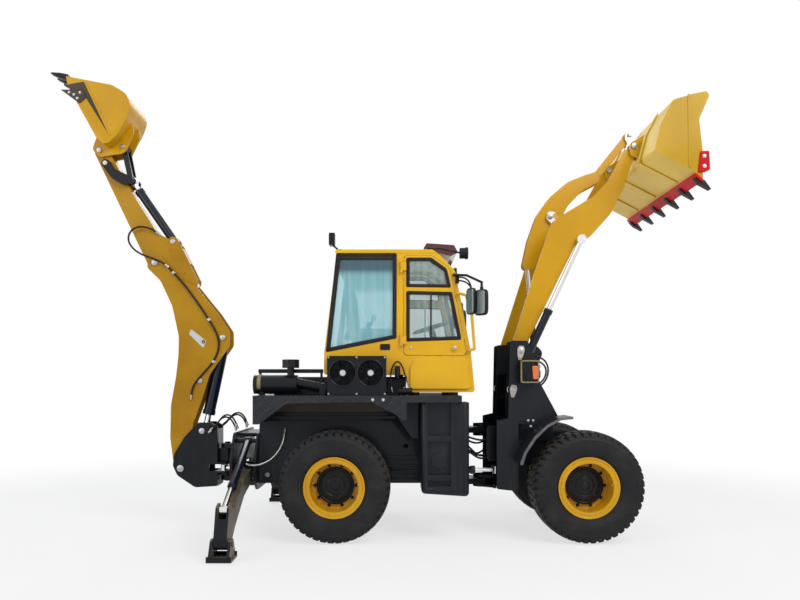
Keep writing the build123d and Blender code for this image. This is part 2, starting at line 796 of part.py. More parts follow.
# Front frame
TOWER_OUT = 590
TOWER_WALL = 25
INNER_OUT = 385
INNER_IN = 355
FRONT_LOW = 690


def front_frame():
    """Tower plates, axle frame, articulation forks and the brackets of the cylinders."""
    outer = plate(
        [
            (1750, 1985, 20), (1928, 1985, 40), (1990, 1850, 60), (2048, 1575, 60), (2232, 1232, 10),
            (2232, 1172, 0), (1835, 1172, 0), (1835, 460, 20), (1617, 484, 20), (1617, 1172, 10),
            (1734, 1200, 0),
        ],
        TOWER_OUT - TOWER_WALL, TOWER_OUT,
    )
    inner = plate(
        [
            (1750, 1985, 20), (1928, 1985, 40), (1990, 1850, 60), (2048, 1575, 60), (2232, 1232, 10),
            (2232, 960, 0), (1640, 960, 0), (1640, 1172, 0), (1734, 1200, 0),
        ],
        INNER_IN, INNER_OUT,
    )
    body = joined(both(outer) + both(inner))
    body = body + block(1640, 1670, -TOWER_OUT + 5, TOWER_OUT - 5, 484, 1172)
    eye_gap = 38 + SIDE_GAP
    body = body - block(1600, 1680, -420, -110, STEER_Z - eye_gap, STEER_Z + eye_gap)
    body = body + block(1640, 2720, -330, 330, FRONT_LOW, 1000) - block(1700, 2690, -300, 300, 720, 970)
    body = body + block(1760, 1900, -INNER_IN - 5, INNER_IN + 5, 1350, 1400)
    body = body + block(1760, 1790, -INNER_IN - 5, INNER_IN + 5, 1000, 1650)
    for side in (-1, 1):
        low = min(side * (INNER_OUT - 5), side * (TOWER_OUT - 5))
        high = max(side * (INNER_OUT - 5), side * (TOWER_OUT - 5))
        body = body + block(1640, 2232, low, high, 1140, 1172)
        body = body + bar_y(LIFT_PIN, 32, min(side * INNER_IN, side * (TOWER_OUT + 12)),
                            max(side * INNER_IN, side * (TOWER_OUT + 12)))
        body = body + bar_y(LIFT_BASE, 30, min(side * INNER_IN, side * TOWER_OUT),
                            max(side * INNER_IN, side * TOWER_OUT))
        ear = plate([(1740, 1380, 0), (1980, 1380, 0), (2190, 1880, 60), (2120, 1975, 60),
                     (1960, 1780, 60)],
                    min(side * 46, side * 71), max(side * 46, side * 71))
        body = body + ear
    body = body + bar_y(TILT_BASE, 28, -85, 85)
    body = body + block(1560, 1645, -330, -210, 740, 1110) + block(1545, 1562, -340, -200, 760, 1090)
    body = body + hitch_forks() + steering_horn()
    return body


def hitch_forks():
    """Pairs of plates above and below each rear ear, with the articulation pins."""
    body = None
    for z in (HITCH_LOW_Z, HITCH_TOP_Z):
        for low in (z - HITCH_EAR / 2 - SIDE_GAP - 30, z + HITCH_EAR / 2 + SIDE_GAP):
            fork = plan_plate([(PIVOT_X, -90, 0), (1660, -180, 0), (1660, 180, 0), (PIVOT_X, 90, 0)], low,
                              low + 30)
            fork = fork + bar_z(PIVOT_X, 0, 90, low, low + 30)
            body = fork if body is None else body + fork
        body = body + bar_z(PIVOT_X, 0, PIVOT_PIN, z - 70, z + 70)
    body = body + block(1640, 1670, -180, 180, 430, 500)
    return body


def steering_horn():
    """Plates beside the eye of the steering cylinder."""
    x, y = STEER_EYE
    body = None
    for low in (STEER_Z - 38 - SIDE_GAP - 20, STEER_Z + 38 + SIDE_GAP):
        arm = block(x - 45, 1650, y - 45, y + 45, low, low + 20)
        body = arm if body is None else body + arm
    return body


def front_fender(side):
    """Mudguard band over a front wheel, with its side wall."""
    low, high = span(side, TOWER_OUT, 960)
    outer = [(1790, 771, 0), (1793, 800, 0), (1829, 895, 60), (1923, 1040, 60), (2047, 1155, 60),
             (2172, 1222, 40),
             (2300, 1235, 0)]
    inner = [(2300, 1212, 0), (2180, 1198, 40), (2062, 1135, 60), (1945, 1020, 60), (1852, 880, 60),
             (1818, 771, 0)]
    return plate(outer + inner, low, high)


def lamp_box(side):
    """Head lamp box on the tower."""
    low, high = span(side, TOWER_OUT, 760)
    body = block(1830, 2010, low, high, 1560, 1780)
    body = fillet(body.edges().filter_by(Axis.Y), 12)
    body = body + bar_x(side * 678, 1672, 68, 2005, 2026)
    low, high = span(side, 755, 778)
    return body + block(1880, 1970, low, high, 1590, 1650)


# Loader
ARM = [
    (1775, 1790, 80), (1950, 1790, 80), (1968, 2001, 100), (2305, 2691, 300), (2453, 2986, 120),
    (2600, 3065, 150), (2815, 3305, 300), (2950, 3580, 300), (3018, 3790, 200), (3096, 3965, 50),
    (3074, 4042, 50), (2990, 4042, 50), (2960, 3960, 60), (2785, 3640, 150), (2637, 3483, 200),
    (2269, 3262, 60),
    (2204, 3207, 60), (2081, 2857, 300), (1809, 2001, 100),
]


def loader_arm():
    """Two bent arms joined by a cross tube that carries the bell crank."""
    arm = plate(ARM, ARM_IN, ARM_OUT)
    arm = arm + bar_y(LIFT_PIN, 80, ARM_IN - 8, ARM_OUT + 2)
    arm = arm - bar_y(LIFT_PIN, 32 + PIN_GAP, ARM_IN - 20, ARM_OUT + 20)
    arm = arm + bar_y(LIFT_EYE, 45, ARM_OUT - 5, LIFT_Y - 32)
    body = joined(both(arm))
    body = body + bar_y((2500, 3130), 75, -ARM_IN - 5, ARM_IN + 5)
    for side in (-1, 1):
        ear = plate([(2470, 3080, 30), (2560, 3180, 30), (2310, 3400, 40), (2240, 3410, 40),
                     (2215, 3330, 40)],
                    min(side * 84, side * 109), max(side * 84, side * 109))
        body = body + ear
    body = body + bar_y(CRANK_PIN, 30, -120, 120)
    for side in (-1, 1):
        body = body + bar_y(BUCKET_PIN, 30, min(side * 350, side * 500), max(side * 350, side * 500))
    return body


def bell_crank():
    """Curved crank of two cheeks, joined by bosses clear of both its ends."""
    shape = [
        (1965, 2800, 50), (2029, 3100, 300), (2126, 3372, 300), (2262, 3565, 200), (2456, 3730, 300),
        (2650, 3809, 200), (2790, 3850, 45), (2812, 3740, 45), (2612, 3634, 300), (2456, 3469, 200),
        (2385, 3330, 60),
        (2204, 3100, 200), (2146, 2925, 200), (2090, 2770, 50),
    ]
    cheek = plate(shape, 50, 74) - bar_y(CRANK_PIN, 30 + PIN_GAP, 40, 90)
    body = joined(both(cheek))
    body = body + bar_y(CRANK_PIN, 60, -60, 60) - bar_y(CRANK_PIN, 30 + PIN_GAP, -90, 90)
    return body


def bucket_link():
    """Link bar between the bell crank and the bucket."""
    return flat_link(CRANK_TOP, BUCKET_LINK, 48, -40, 40, 0, 28)


def flat_link(first, last, radius, low, high, first_bore, last_bore):
    """Bar with round ends between two pins, with a bore at each end that has one."""
    dx = last[0] - first[0]
    dz = last[1] - first[1]
    size = math.hypot(dx, dz)
    nx = -dz / size * radius * 0.8
    nz = dx / size * radius * 0.8
    corners = [
        (first[0] + nx, first[1] + nz, 0), (last[0] + nx, last[1] + nz, 0),
        (last[0] - nx, last[1] - nz, 0), (first[0] - nx, first[1] - nz, 0),
    ]
    body = plate(corners, low, high) + bar_y(first, radius, low, high) + bar_y(last, radius, low, high)
    for pin, bore in ((first, first_bore), (last, last_bore)):
        if bore:
            body = body - bar_y(pin, bore + PIN_GAP, low - 5, high + 5)
    return body


BUCKET = [
    (3062, 3778, 60), (3440, 3583, 60), (3528, 3505, 0), (3522, 3790, 200), (3490, 4079, 60),
    (3588, 4303, 15),
    (3560, 4344, 15), (3449, 4322, 60), (3241, 4262, 40), (3128, 4040, 200), (3098, 3920, 60),
]
BUCKET_WALLS = [18, 18, -150, -150, -150, -150, 14, 14, 18, 18, 18]


def loader_bucket():
    """Bucket shell with its side plates and the ears for its pins."""
    body = plate(BUCKET, -BUCKET_HALF, BUCKET_HALF)
    body = body - plate(inset(BUCKET, BUCKET_WALLS), -BUCKET_HALF + 20, BUCKET_HALF - 20)
    for side in (-1, 1):
        for y in (370, 466):
            ear = plate([(3010, 3900, 40), (3120, 3850, 20), (3180, 4000, 20), (3180, 4120, 20),
                         (3080, 4060, 40), (2985, 4010, 50)],
                        min(side * y, side * (y + 22)), max(side * y, side * (y + 22)))
            ear = ear - bar_y(BUCKET_PIN, 30 + PIN_GAP, min(side * (y - 5), side * (y + 27)),
                              max(side * (y - 5), side * (y + 27)))
            body = body + ear
        ear = plate([(3150, 4080, 20), (3250, 4240, 10), (3200, 4290, 40), (3090, 4300, 40),
                     (3080, 4200, 40)],
                    min(side * 46, side * 70), max(side * 46, side * 70))
        body = body + ear
    strap = [(3068, 3787, 0), (3436, 3597, 0), (3430, 3571, 20), (3056, 3765, 20)]
    spine = [(3062, 3778, 0), (3098, 3920, 0), (3128, 4040, 0), (3241, 4262, 0), (3232, 4272, 0),
             (3112, 4050, 30),
             (3080, 3925, 30), (3044, 3780, 0)]
    for y in RIB_PLACES:
        body = body + plate(strap, y - 32, y + 32) + plate(spine, y - 32, y + 32)
    for side in (-1, 1):
        low, high = span(side, BUCKET_HALF - 5, BUCKET_HALF + 8)
        body = body + plate([(3392, 3628, 0), (3412, 3620, 0), (3400, 4318, 0), (3380, 4312, 0)], low, high)
    body = body + bar_y(BUCKET_LINK, 28, -80, 80)
    cutter = plate(inset(BUCKET, BUCKET_WALLS), -BUCKET_HALF + 20, BUCKET_HALF - 20)
    return body - cutter


RIB_PLACES = (-590, 0, 590)
TOOTH_COUNT = 6


def bucket_teeth():
    """Bolt-on edge under the lip, with teeth on it."""
    lip = BUCKET[2]
    back = BUCKET[1]
    size = math.hypot(lip[0] - back[0], lip[1] - back[1])
    ux = (lip[0] - back[0]) / size
    uz = (lip[1] - back[1]) / size

    def edge_point(along, below):
        return lip[0] + along * ux + below * uz, lip[1] + along * uz - below * ux, 0

    body = plate([edge_point(*p) for p in ((-95, 24), (-95, 0), (16, 0), (16, 12), (0, 24))], -BUCKET_HALF,
                 BUCKET_HALF)
    tooth = [(-60, 38), (-60, 2), (24, -12), (122, 10), (122, 18), (10, 44)]
    for i in range(TOOTH_COUNT):
        y = -950 + i * 1900 / (TOOTH_COUNT - 1)
        body = body + plate([edge_point(*p) for p in tooth], y - 32, y + 32)
    body = body - plate(BUCKET, -BUCKET_HALF - 5, BUCKET_HALF + 5)
    side_edge = plate(
        [(3478, 3572, 0), (3540, 3566, 10), (3588, 3592, 10), (3580, 3768, 10), (3500, 3768, 10)],
        BUCKET_HALF, BUCKET_HALF + 18,
    )
    return [body] + both(side_edge)


# Backhoe
def swing_post():
    """Post with side plates that carry the boom, its hinge knuckles and the lugs of the swing cylinders."""
    front = SWING_X - 80
    gap = SWING_EYE_WIDTH / 2 + SIDE_GAP
    side = plate(
        [
            (-1800, 667, 60), (-1785, 790, 80), (-1676, 973, 150), (-1530, 1130, 60), (-1395, 1130, 30),
            (front, 1090, 20), (front, 448, 20), (-1561, 433, 80), (-1753, 563, 80),
        ],
        POST_IN, POST_OUT,
    )
    body = joined(both(side))
    body = body + block(front - PLATE, front, -POST_IN - 5, POST_IN + 5, 448, 1060)
    for low, high in ((556, SWING_Z - gap), (SWING_Z + gap, 844)):
        body = body + bar_z(SWING_X, 0, 55, low, high) + block(front - 10, SWING_X, -55, 55, low, high)
    body = body - block(SWING_X - 170, SWING_X + 60, -200, 200, SWING_Z - gap, SWING_Z + gap)
    body = body + bar_z(SWING_X, 0, SWING_PIN, 490, SWING_Z - gap)
    body = body + bar_z(SWING_X, 0, SWING_PIN, SWING_Z + gap, 915)
    body = body + bar_y(BOOM_FOOT, 36, -POST_OUT - 15, POST_OUT + 15)
    for side in (-1, 1):
        low, high = span(side, 44 + SIDE_GAP, POST_IN + 5)
        body = body + bar_y(BOOM_BASE, 60, low, high)
        low, high = span(side, POST_IN, POST_OUT + 15)
        body = body + bar_y(BOOM_BASE, 32, low, high)
        for level in (SWING_Z - gap - 20, SWING_Z + gap):
            lug = plan_plate(
                [
                    (front - 20, side * 50, 0), (front - 20, side * 130, 0),
                    (SWING_EYE[0] - 30, side * 148, 20),
                    (SWING_EYE[0] + 40, side * 138, 24), (SWING_EYE[0] + 40, side * 60, 24),
                ],
                level, level + 20,
            )
            body = body + lug
    return body


BOOM = [
    (-1790, 590, 60), (-1640, 590, 60), (-1590, 1127, 0), (-1476, 1437, 300), (-1414, 1643, 300),
    (-1195, 1960, 80), (-1195, 2110, 80), (-1331, 2315, 200), (-1435, 2439, 200), (-1560, 2600, 60),
    (-1760, 2690, 100), (-1930, 2920, 80), (-2080, 2900, 80), (-2087, 2800, 60), (-1941, 2656, 200),
    (-1817, 2387, 300), (-1745, 2057, 300), (-1750, 1849, 0), (-1776, 1623, 300), (-1831, 1313, 300),
    (-1838, 962, 300),
]


def boom():
    """Boom of two side plates, a curved back plate and a foot hub."""
    skin = plate(BOOM, BOOM_IN, BOOM_OUT)
    body = joined(both(skin))
    web = plate(BOOM, -BOOM_IN - 5, BOOM_IN + 5) - plate(inset(BOOM, [20] * len(BOOM)), -BOOM_IN - 10,
                                                         BOOM_IN + 10)
    keep = plate([(-1900, 700, 0), (-1690, 700, 0), (-1690, 1500, 0), (-1650, 2100, 0), (-1760, 2420, 0),
                  (-1950, 2420, 0)],
                 -BOOM_IN - 10, BOOM_IN + 10)
    body = body + (web & keep)
    body = body + bar_y(BOOM_FOOT, 75, -POST_IN + SIDE_GAP, POST_IN - SIDE_GAP)
    body = body - bar_y(BOOM_FOOT, 36 + PIN_GAP, -POST_IN, POST_IN)
    for side in (-1, 1):
        body = body + bar_y(BOOM_KNEE, 55, min(side * (44 + SIDE_GAP), side * (BOOM_IN + 5)),
                            max(side * (44 + SIDE_GAP), side * (BOOM_IN + 5)))
        body = body + bar_y(DIPPER_BASE, 50, min(side * (40 + SIDE_GAP), side * (BOOM_IN + 5)),
                            max(side * (40 + SIDE_GAP), side * (BOOM_IN + 5)))
    body = body + bar_y(BOOM_KNEE, 32, -BOOM_OUT - 12, BOOM_OUT + 12)
    body = body + bar_y(DIPPER_BASE, 28, -BOOM_OUT - 8, BOOM_OUT + 8)
    body = body + bar_y(STICK_PIN, 34, -BOOM_OUT - 12, BOOM_OUT + 12)
    return body


STICK = [
    (-2050, 2760, 70), (-2662, 4040, 40), (-2650, 4120, 50), (-2545, 4120, 50), (-2215, 3540, 0),
    (-1985, 3175, 60),
    (-1740, 3060, 60), (-1540, 2655, 50), (-1590, 2555, 50), (-1700, 2600, 0), (-1960, 2740, 60),
]


def stick():
    """Stick with slots for the eyes of the cylinders at its tail and on its back."""
    body = plate(STICK, -STICK_OUT, STICK_OUT)
    body = body - bar_y(STICK_TAIL, 225, -STICK_IN, STICK_IN)
    body = body - bar_y(CURL_BASE, 120, -54, 54)
    body = body - strut(between(CURL_BASE, CURL_EYE, 50), between(CURL_BASE, CURL_EYE, 700), 60)
    for side in (-1, 1):
        low, high = span(side, 44, STICK_OUT)
        body = body + bar_y(CURL_BASE, 54, low, high)
    body = body + bar_y(CURL_BASE, 28, -STICK_OUT - 8, STICK_OUT + 8)
    body = body + bar_y(DIG_PIN, 62, -STICK_OUT, STICK_OUT)
    body = body - bar_y(DIG_PIN, 30 + PIN_GAP, -90, 90)
    body = body - bar_y(STICK_PIN, 34 + PIN_GAP, -90, 90)
    body = body + bar_y(ROCKER_PIN, 45, -102, 102)
    body = body + bar_y(ROCKER_PIN, 26, -140, 140)
    return body


def rocker():
    """Two outer links from the stick to the curl cylinder's eye."""
    shape = [
        (-2572, 3910, 30), (-2545, 3966, 30), (-2478, 3940, 30), (-2430, 3858, 80), (-2300, 3800, 40),
        (-2232, 3770, 30), (-2236, 3712, 30), (-2330, 3682, 80), (-2462, 3760, 80),
    ]
    cheek = plate(shape, 108, 128) + bar_y(ROCKER_PIN, 44, 108, 128) + bar_y(CURL_EYE, 44, 108, 128)
    return both(cheek - bar_y(ROCKER_PIN, 26 + PIN_GAP, 100, 140))


def dig_link():
    """Pair of inner links joined at the bucket's pin."""
    cheek = flat_link(CURL_EYE, DIG_LINK, 36, 48, 70, 0, 0) + bar_y(CURL_EYE, 26, 44, 102)
    body = joined(both(cheek))
    body = body + bar_y(DIG_LINK, 36, -60, 60)
    return body - bar_y(DIG_LINK, 26 + PIN_GAP, -90, 90)


DIG = [
    (-2890, 4800, 0), (-2400, 4706, 200), (-2246, 4610, 150), (-2206, 4480, 150), (-2262, 4330, 150),
    (-2350, 4185, 100), (-2440, 4098, 60), (-2500, 4088, 30), (-2570, 4150, 40), (-2878, 4711, 0),
]
DIG_WALLS = [16, 14, 14, 14, 14, 14, 14, 14, -100, -100]


def dig_bucket():
    """Digging bucket with its ears and teeth."""
    body = plate(DIG, -DIG_HALF, DIG_HALF)
    cutter = plate(inset(DIG, DIG_WALLS), -DIG_HALF + 16, DIG_HALF - 16)
    ear = plate([(-2680, 4075, 60), (-2600, 3990, 60), (-2330, 4040, 60), (-2230, 4250, 60),
                 (-2280, 4560, 60), (-2600, 4300, 60)],
                BOOM_IN, BOOM_OUT + 2)
    ridge = plate([(-2700, 4740, 0), (-2680, 4732, 0), (-2413, 4180, 0), (-2433, 4172, 0)], DIG_HALF - 5,
                  DIG_HALF + 7)
    side_cutter = plate([(-2940, 4652, 0), (-2715, 4648, 20), (-2672, 4575, 30), (-2745, 4508, 20)],
                        DIG_HALF - 5, DIG_HALF + 16)
    body = joined([body] + both(ear) + both(ridge) + both(side_cutter)) - cutter
    for pin, radius in ((DIG_PIN, 30), (DIG_LINK, 26)):
        body = body + bar_y(pin, radius, -BOOM_OUT - 12, BOOM_OUT + 12)
    return body


def dig_teeth():
    """Teeth on the lip of the digging bucket."""
    teeth = []
    for i in range(4):
        y = -225 + i * 150
        tooth = [(-2860, 4765, 0), (-2870, 4820, 0), (-2960, 4838, 0), (-3052, 4842, 0), (-3054, 4830, 0),
                 (-2950, 4778, 0)]
        teeth.append(plate(tooth, y - 32, y + 32) - plate(DIG, y - 40, y + 40))
    return teeth


# Stabilisers
def side_drawn(corners, low, high, side):
    """Plate in the plane across the machine through (outward, z, corner radius) points."""
    return cross_plate([(side * u, z, r) for u, z, r in corners], low, high)


def leg(side):
    """Stabiliser leg: curved box from its pivot to the foot, with the ears of its cylinder."""
    shape = [
        (500, 560, 50), (510, 690, 50), (900, 650, 200), (1380, 400, 200), (1440, 500, 40), (1540, 470, 40),
        (1625, 200, 60), (1610, 105, 40), (1500, 95, 40), (1300, 250, 200), (900, 470, 200),
    ]
    body = side_drawn(shape, LEG_X - 60, LEG_X + 60, side)
    body = body - side_drawn([(1340, 300, 40), (1400, 620, 0), (1640, 620, 0), (1560, 330, 40)], LEG_X - 40,
                             LEG_X + 40, side)
    body = body - bar_x(side * LEG_PIN[0], LEG_PIN[1], 30 + PIN_GAP, LEG_X - 70, LEG_X + 70)
    body = body - bar_x(side * PAD_PIN[0], PAD_PIN[1], 24 + PIN_GAP, LEG_X - 70, LEG_X + 70)
    return body


def pad(side):
    """Foot pad hung on the leg's end."""
    u, z = PAD_PIN
    half = 120
    body = block(LEG_X - 110, LEG_X + 110, side * u - half, side * u + half, PAD_LOW, PAD_LOW + 20)
    for edge in (-half, half - 18):
        low, high = span(side, u + edge, u + edge + 18)
        body = body + block(LEG_X - 110, LEG_X + 110, low, high, PAD_LOW, PAD_LOW + 50)
    ear = [
        (u - half, PAD_LOW + 10, 0), (u - half, PAD_LOW + 50, 10), (u - 45, z + 45, 40), (u + 45, z + 45,
            40),
        (u + half, PAD_LOW + 50, 10), (u + half, PAD_LOW + 10, 0),
    ]
    for x in (LEG_X - 92, LEG_X + 68):
        body = body + side_drawn(ear, x, x + 24, side)
    return body + bar_x(side * u, z, 24, LEG_X - 100, LEG_X + 100)


def main():
    os.makedirs("parts", exist_ok=True)
    wheels = [("rear_right", 0, -1), ("rear_left", 0, 1), ("front_right", WHEELBASE, -1),
              ("front_left", WHEELBASE, 1)]
    for name, x, side in wheels:
        save("tyre_" + name, tyre(x, side))
        save("rim_" + name, rim(x, side))
    save("rear_axle", axle(0, 405, FRAME_ARCH))
    save("front_axle", axle(WHEELBASE, 285, FRONT_LOW))
    save("rear_chassis", chassis())
    save("deck", [deck(), engine_cover()])
    save("engine_block", engine())
    save("step_boxes", [step_box(-1), step_box(1)])
    save("cab_shell", cab_shell())
    save("cab_roof", cab_roof())
    save("cab_glass", cab_glass())
    save("door_right", door(-1))
    save("door_left", door(1))
    save("operator_station", [operator_station(), steering_column()] + seat())
    save("cab_fittings", cab_fittings())
    save("cooler", [cooler()] + cooler_fans() + receiver())
    save("air_cleaner", [air_cleaner(), guard_rail()])
    save("front_frame", front_frame())
    save("front_fenders", [front_fender(-1), front_fender(1), lamp_box(-1), lamp_box(1)])
    steer_tube, steer_rod = hydraulic(
        (STEER_BASE[0], STEER_BASE[1], STEER_Z), (STEER_EYE[0], STEER_EYE[1], STEER_Z), (0, 0, 1),
        barrel=38, rod=20, reach=470, eye_width=76, pin=22, eye_radius=38, closing=150,
    )
    save("steering_tube", steer_tube)
    save("steering_rod", steer_rod)
    save("loader_arm", loader_arm())
    lift_tubes = []
    lift_rods = []
    for y in (-LIFT_Y, LIFT_Y):
        tube, rod = upright_hydraulic(LIFT_BASE, LIFT_EYE, y, barrel=40, rod=27, reach=900, eye_width=56,
                                      pin=30, eye_radius=48, closing=545)
        lift_tubes.append(tube)
        lift_rods.append(rod)
    save("lift_tubes", lift_tubes)
    save("lift_rods", lift_rods)
    tilt_tube, tilt_rod = upright_hydraulic(TILT_BASE, CRANK_LOW, 0, barrel=34, rod=22, reach=620,
                                            eye_width=72, pin=28, eye_radius=40)
    save("tilt_tube", tilt_tube)
    save("tilt_rod", tilt_rod)
    save("bell_crank", bell_crank())
    save("bucket_link", bucket_link())
    save("loader_bucket", loader_bucket())
    save("bucket_teeth", bucket_teeth())
    save("swing_post", swing_post())
    for name, side in (("right", -1), ("left", 1)):
        tube, rod = hydraulic(
            (SWING_BASE[0], side * SWING_BASE[1], SWING_Z), (SWING_EYE[0], side * SWING_EYE[1],
                                                             SWING_Z), (0, 0, 1),
            barrel=35, rod=18, reach=480, eye_width=SWING_EYE_WIDTH, pin=24, eye_radius=36, closing=135,
        )
        save("swing_tube_" + name, tube)
        save("swing_rod_" + name, rod)
    save("boom", boom())
    tube, rod = upright_hydraulic(BOOM_KNEE, BOOM_BASE, 0, barrel=62, rod=32, reach=850, eye_width=88,
                                  pin=32, eye_radius=58)
    save("boom_tube", tube)
    save("boom_rod", rod)
    save("stick", stick())
    tube, rod = upright_hydraulic(DIPPER_BASE, STICK_TAIL, 0, barrel=55, rod=28, reach=900, eye_width=80,
                                  pin=28, eye_radius=48)
    save("dipper_tube", tube)
    save("dipper_rod", rod)
    save("rocker", rocker())
    save("dig_link", dig_link())
    tube, rod = upright_hydraulic(CURL_BASE, CURL_EYE, 0, barrel=46, rod=25, reach=690, eye_width=76,
                                  pin=28, eye_radius=50)
    save("curl_tube", tube)
    save("curl_rod", rod)
    save("dig_bucket", [dig_bucket()] + dig_teeth())
    for name, side in (("right", -1), ("left", 1)):
        tube, rod = hydraulic(
            (LEG_X, side * LEG_BASE[0], LEG_BASE[1]), (LEG_X, side * LEG_EYE[0], LEG_EYE[1]), (1, 0, 0),
            barrel=38, rod=22, reach=820, eye_width=68, pin=24, eye_radius=38, closing=250,
        )
        save("leg_tube_" + name, tube)
        save("leg_rod_" + name, rod)
        save("leg_" + name, leg(side))
        save("pad_" + name, pad(side))


if __name__ == "__main__":
    main()
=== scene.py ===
# Looks of an articulated backhoe loader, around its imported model.
import json
import math

import bmesh
import bpy
import numpy as np
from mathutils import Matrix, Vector


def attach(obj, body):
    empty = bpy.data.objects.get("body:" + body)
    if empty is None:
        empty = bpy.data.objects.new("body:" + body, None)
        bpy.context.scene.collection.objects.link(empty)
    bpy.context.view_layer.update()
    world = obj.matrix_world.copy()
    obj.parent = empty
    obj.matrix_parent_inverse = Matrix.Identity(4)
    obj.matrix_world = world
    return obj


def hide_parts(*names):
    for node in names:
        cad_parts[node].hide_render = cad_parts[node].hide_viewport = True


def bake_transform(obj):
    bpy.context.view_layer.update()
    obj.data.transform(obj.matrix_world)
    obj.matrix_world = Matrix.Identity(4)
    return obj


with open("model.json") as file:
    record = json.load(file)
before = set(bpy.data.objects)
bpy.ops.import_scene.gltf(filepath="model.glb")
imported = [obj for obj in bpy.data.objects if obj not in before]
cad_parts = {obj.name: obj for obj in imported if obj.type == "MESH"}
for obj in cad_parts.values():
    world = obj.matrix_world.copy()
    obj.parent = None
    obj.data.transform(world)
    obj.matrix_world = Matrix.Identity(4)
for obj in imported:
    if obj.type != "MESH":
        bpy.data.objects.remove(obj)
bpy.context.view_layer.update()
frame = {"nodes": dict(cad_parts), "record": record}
behaviour = frame["record"]["behaviour"]
nodeBody = {node: body for body, nodes in behaviour["bodies"].items() for node in nodes}
rearSpin = next(joint for joint in behaviour["joints"] if joint["name"] == "wheel_rear_right_spin")
originX = -rearSpin["pos_m"][0]      # the frame's origin, in metres ahead of the rear axle
sideNames = {-1: "right", 1: "left"}
print("frame loaded:", len(frame["nodes"]), "nodes, rear axle at", -originX)


class Socket:
    # one output of a shader node; arithmetic on it adds Math nodes
    def __init__(self, tree, link=None):
        self.tree = tree
        self.link = link

    def node(self, kind, settings=None, sockets=None, out=0):
        made = self.tree.nodes.new(kind)
        for key, value in (settings or {}).items():
            setattr(made, key, value)
        for key, value in (sockets or {}).items():
            if isinstance(value, Socket):
                self.tree.links.new(value.link, made.inputs[key])
            elif made.inputs[key].type == "RGBA" and len(value) == 3:
                made.inputs[key].default_value = (*value, 1)
            else:
                made.inputs[key].default_value = value
        return Socket(self.tree, made.outputs[out]) if len(made.outputs) else None

    def maths(self, operation, first, second=None):
        values = {i: v for i, v in enumerate((first, second)) if v is not None}
        return self.node("ShaderNodeMath", {"operation": operation}, values)

    def __add__(self, other):
        return self.maths("ADD", self, other)

    def __radd__(self, other):
        return self.maths("ADD", other, self)

    def __sub__(self, other):
        return self.maths("SUBTRACT", self, other)

    def __rsub__(self, other):
        return self.maths("SUBTRACT", other, self)

    def __mul__(self, other):
        return self.maths("MULTIPLY", self, other)

    def __rmul__(self, other):
        return self.maths("MULTIPLY", other, self)

    def top(self, other):
        # the larger of two values
        return self.maths("MAXIMUM", self, other)

    def wave(self):
        return self.maths("SINE", self)

    def step(self, low, high, toLow=0.0, toHigh=1.0):
        # smooth step of this value between two limits
        return self.node("ShaderNodeMapRange", {"interpolation_type": "SMOOTHSTEP"},
                         {"Value": self, "From Min": low, "From Max": high, "To Min": toLow, "To Max": toHigh})

    def mix(self, first, second):
        # colour mixed by this mask, from first to second
        return self.node("ShaderNodeMix", {"data_type": "RGBA"}, {0: self, 6: first, 7: second}, out=2)


def newMaterial(name):
    material = bpy.data.materials.new(name)
    material.use_nodes = True
    tree = material.node_tree
    tree.nodes.clear()
    return material, Socket(tree)


def finishMaterial(start, sockets):
    shader = start.node("ShaderNodeBsdfPrincipled", {}, sockets)
    start.node("ShaderNodeOutputMaterial", {}, {"Surface": shader})


def objectPlace(start, scale=(1, 1, 1), turn=(0, 0, 0)):
    place = start.node("ShaderNodeTexCoord", {}, {}, out="Object")
    return start.node("ShaderNodeMapping", {}, {"Vector": place, "Scale": scale, "Rotation": turn})


def noise(start, place, scale, detail=4.0, roughness=0.55):
    return start.node("ShaderNodeTexNoise", {},
                      {"Vector": place, "Scale": scale, "Detail": detail, "Roughness": roughness})


def axisOf(start, axis, scale=(1, 1, 1), turn=(0, 0, 0)):
    return start.node("ShaderNodeSeparateXYZ", {}, {"Vector": objectPlace(start, scale, turn)}, out=axis)


def bump(start, height, strength, distance=0.002):
    return start.node("ShaderNodeBump", {}, {"Height": height, "Strength": strength, "Distance": distance})


def faceUp(start):
    # 1 on a surface that looks up, 0 on an upright one
    normal = start.node("ShaderNodeNewGeometry", {}, {}, out="Normal")
    return start.node("ShaderNodeSeparateXYZ", {}, {"Vector": normal}, out="Z").step(0.25, 0.9)


def paintFinish(name, spec):
    # colour drifts between two tones over about half a metre; dust gathers on ledges, low down and in streaks;
    # fine scratches and small chips lighten it, and an orange peel breaks up the gloss
    material, start = newMaterial(name)
    place = objectPlace(start)
    broad = noise(start, place, 1.7).step(0.35, 0.68)
    streak = noise(start, objectPlace(start, (7, 7, 0.6)), 2.2, 6).step(0.5, 0.8)
    speck = noise(start, place, 45, 7, 0.72).step(0.6, 0.75)
    chips = noise(start, place, 17, 8, 0.8).step(0.7, 0.735)
    scratch = noise(start, objectPlace(start, (3, 3, 26), (0.5, 0.3, 0.2)), 9, 7, 0.7).step(0.68, 0.74)
    low = axisOf(start, "Z").step(1.3, 0.1)
    dirt = (low * 0.7 + 0.3 + faceUp(start) * 0.6) * (streak * 0.55 + speck * 0.45) * spec["dustAmount"]
    base = dirt.mix(broad.mix(spec["colour"], spec["shade"]), spec["dust"])
    base = (scratch * spec["wear"]).top(chips * spec["wear"] * 0.8).mix(base, spec["bare"])
    peel = noise(start, place, 230, 2)
    finishMaterial(start, {
        "Base Color": base, "Roughness": dirt * 0.45 + broad * 0.07 + spec["rough"],
        "Coat Weight": spec["coat"], "Coat Roughness": 0.1, "Specular IOR Level": spec["gloss"],
        "Normal": bump(start, peel + speck * 0.3 - chips * 0.6, 0.1, 0.0015),
    })
    return material


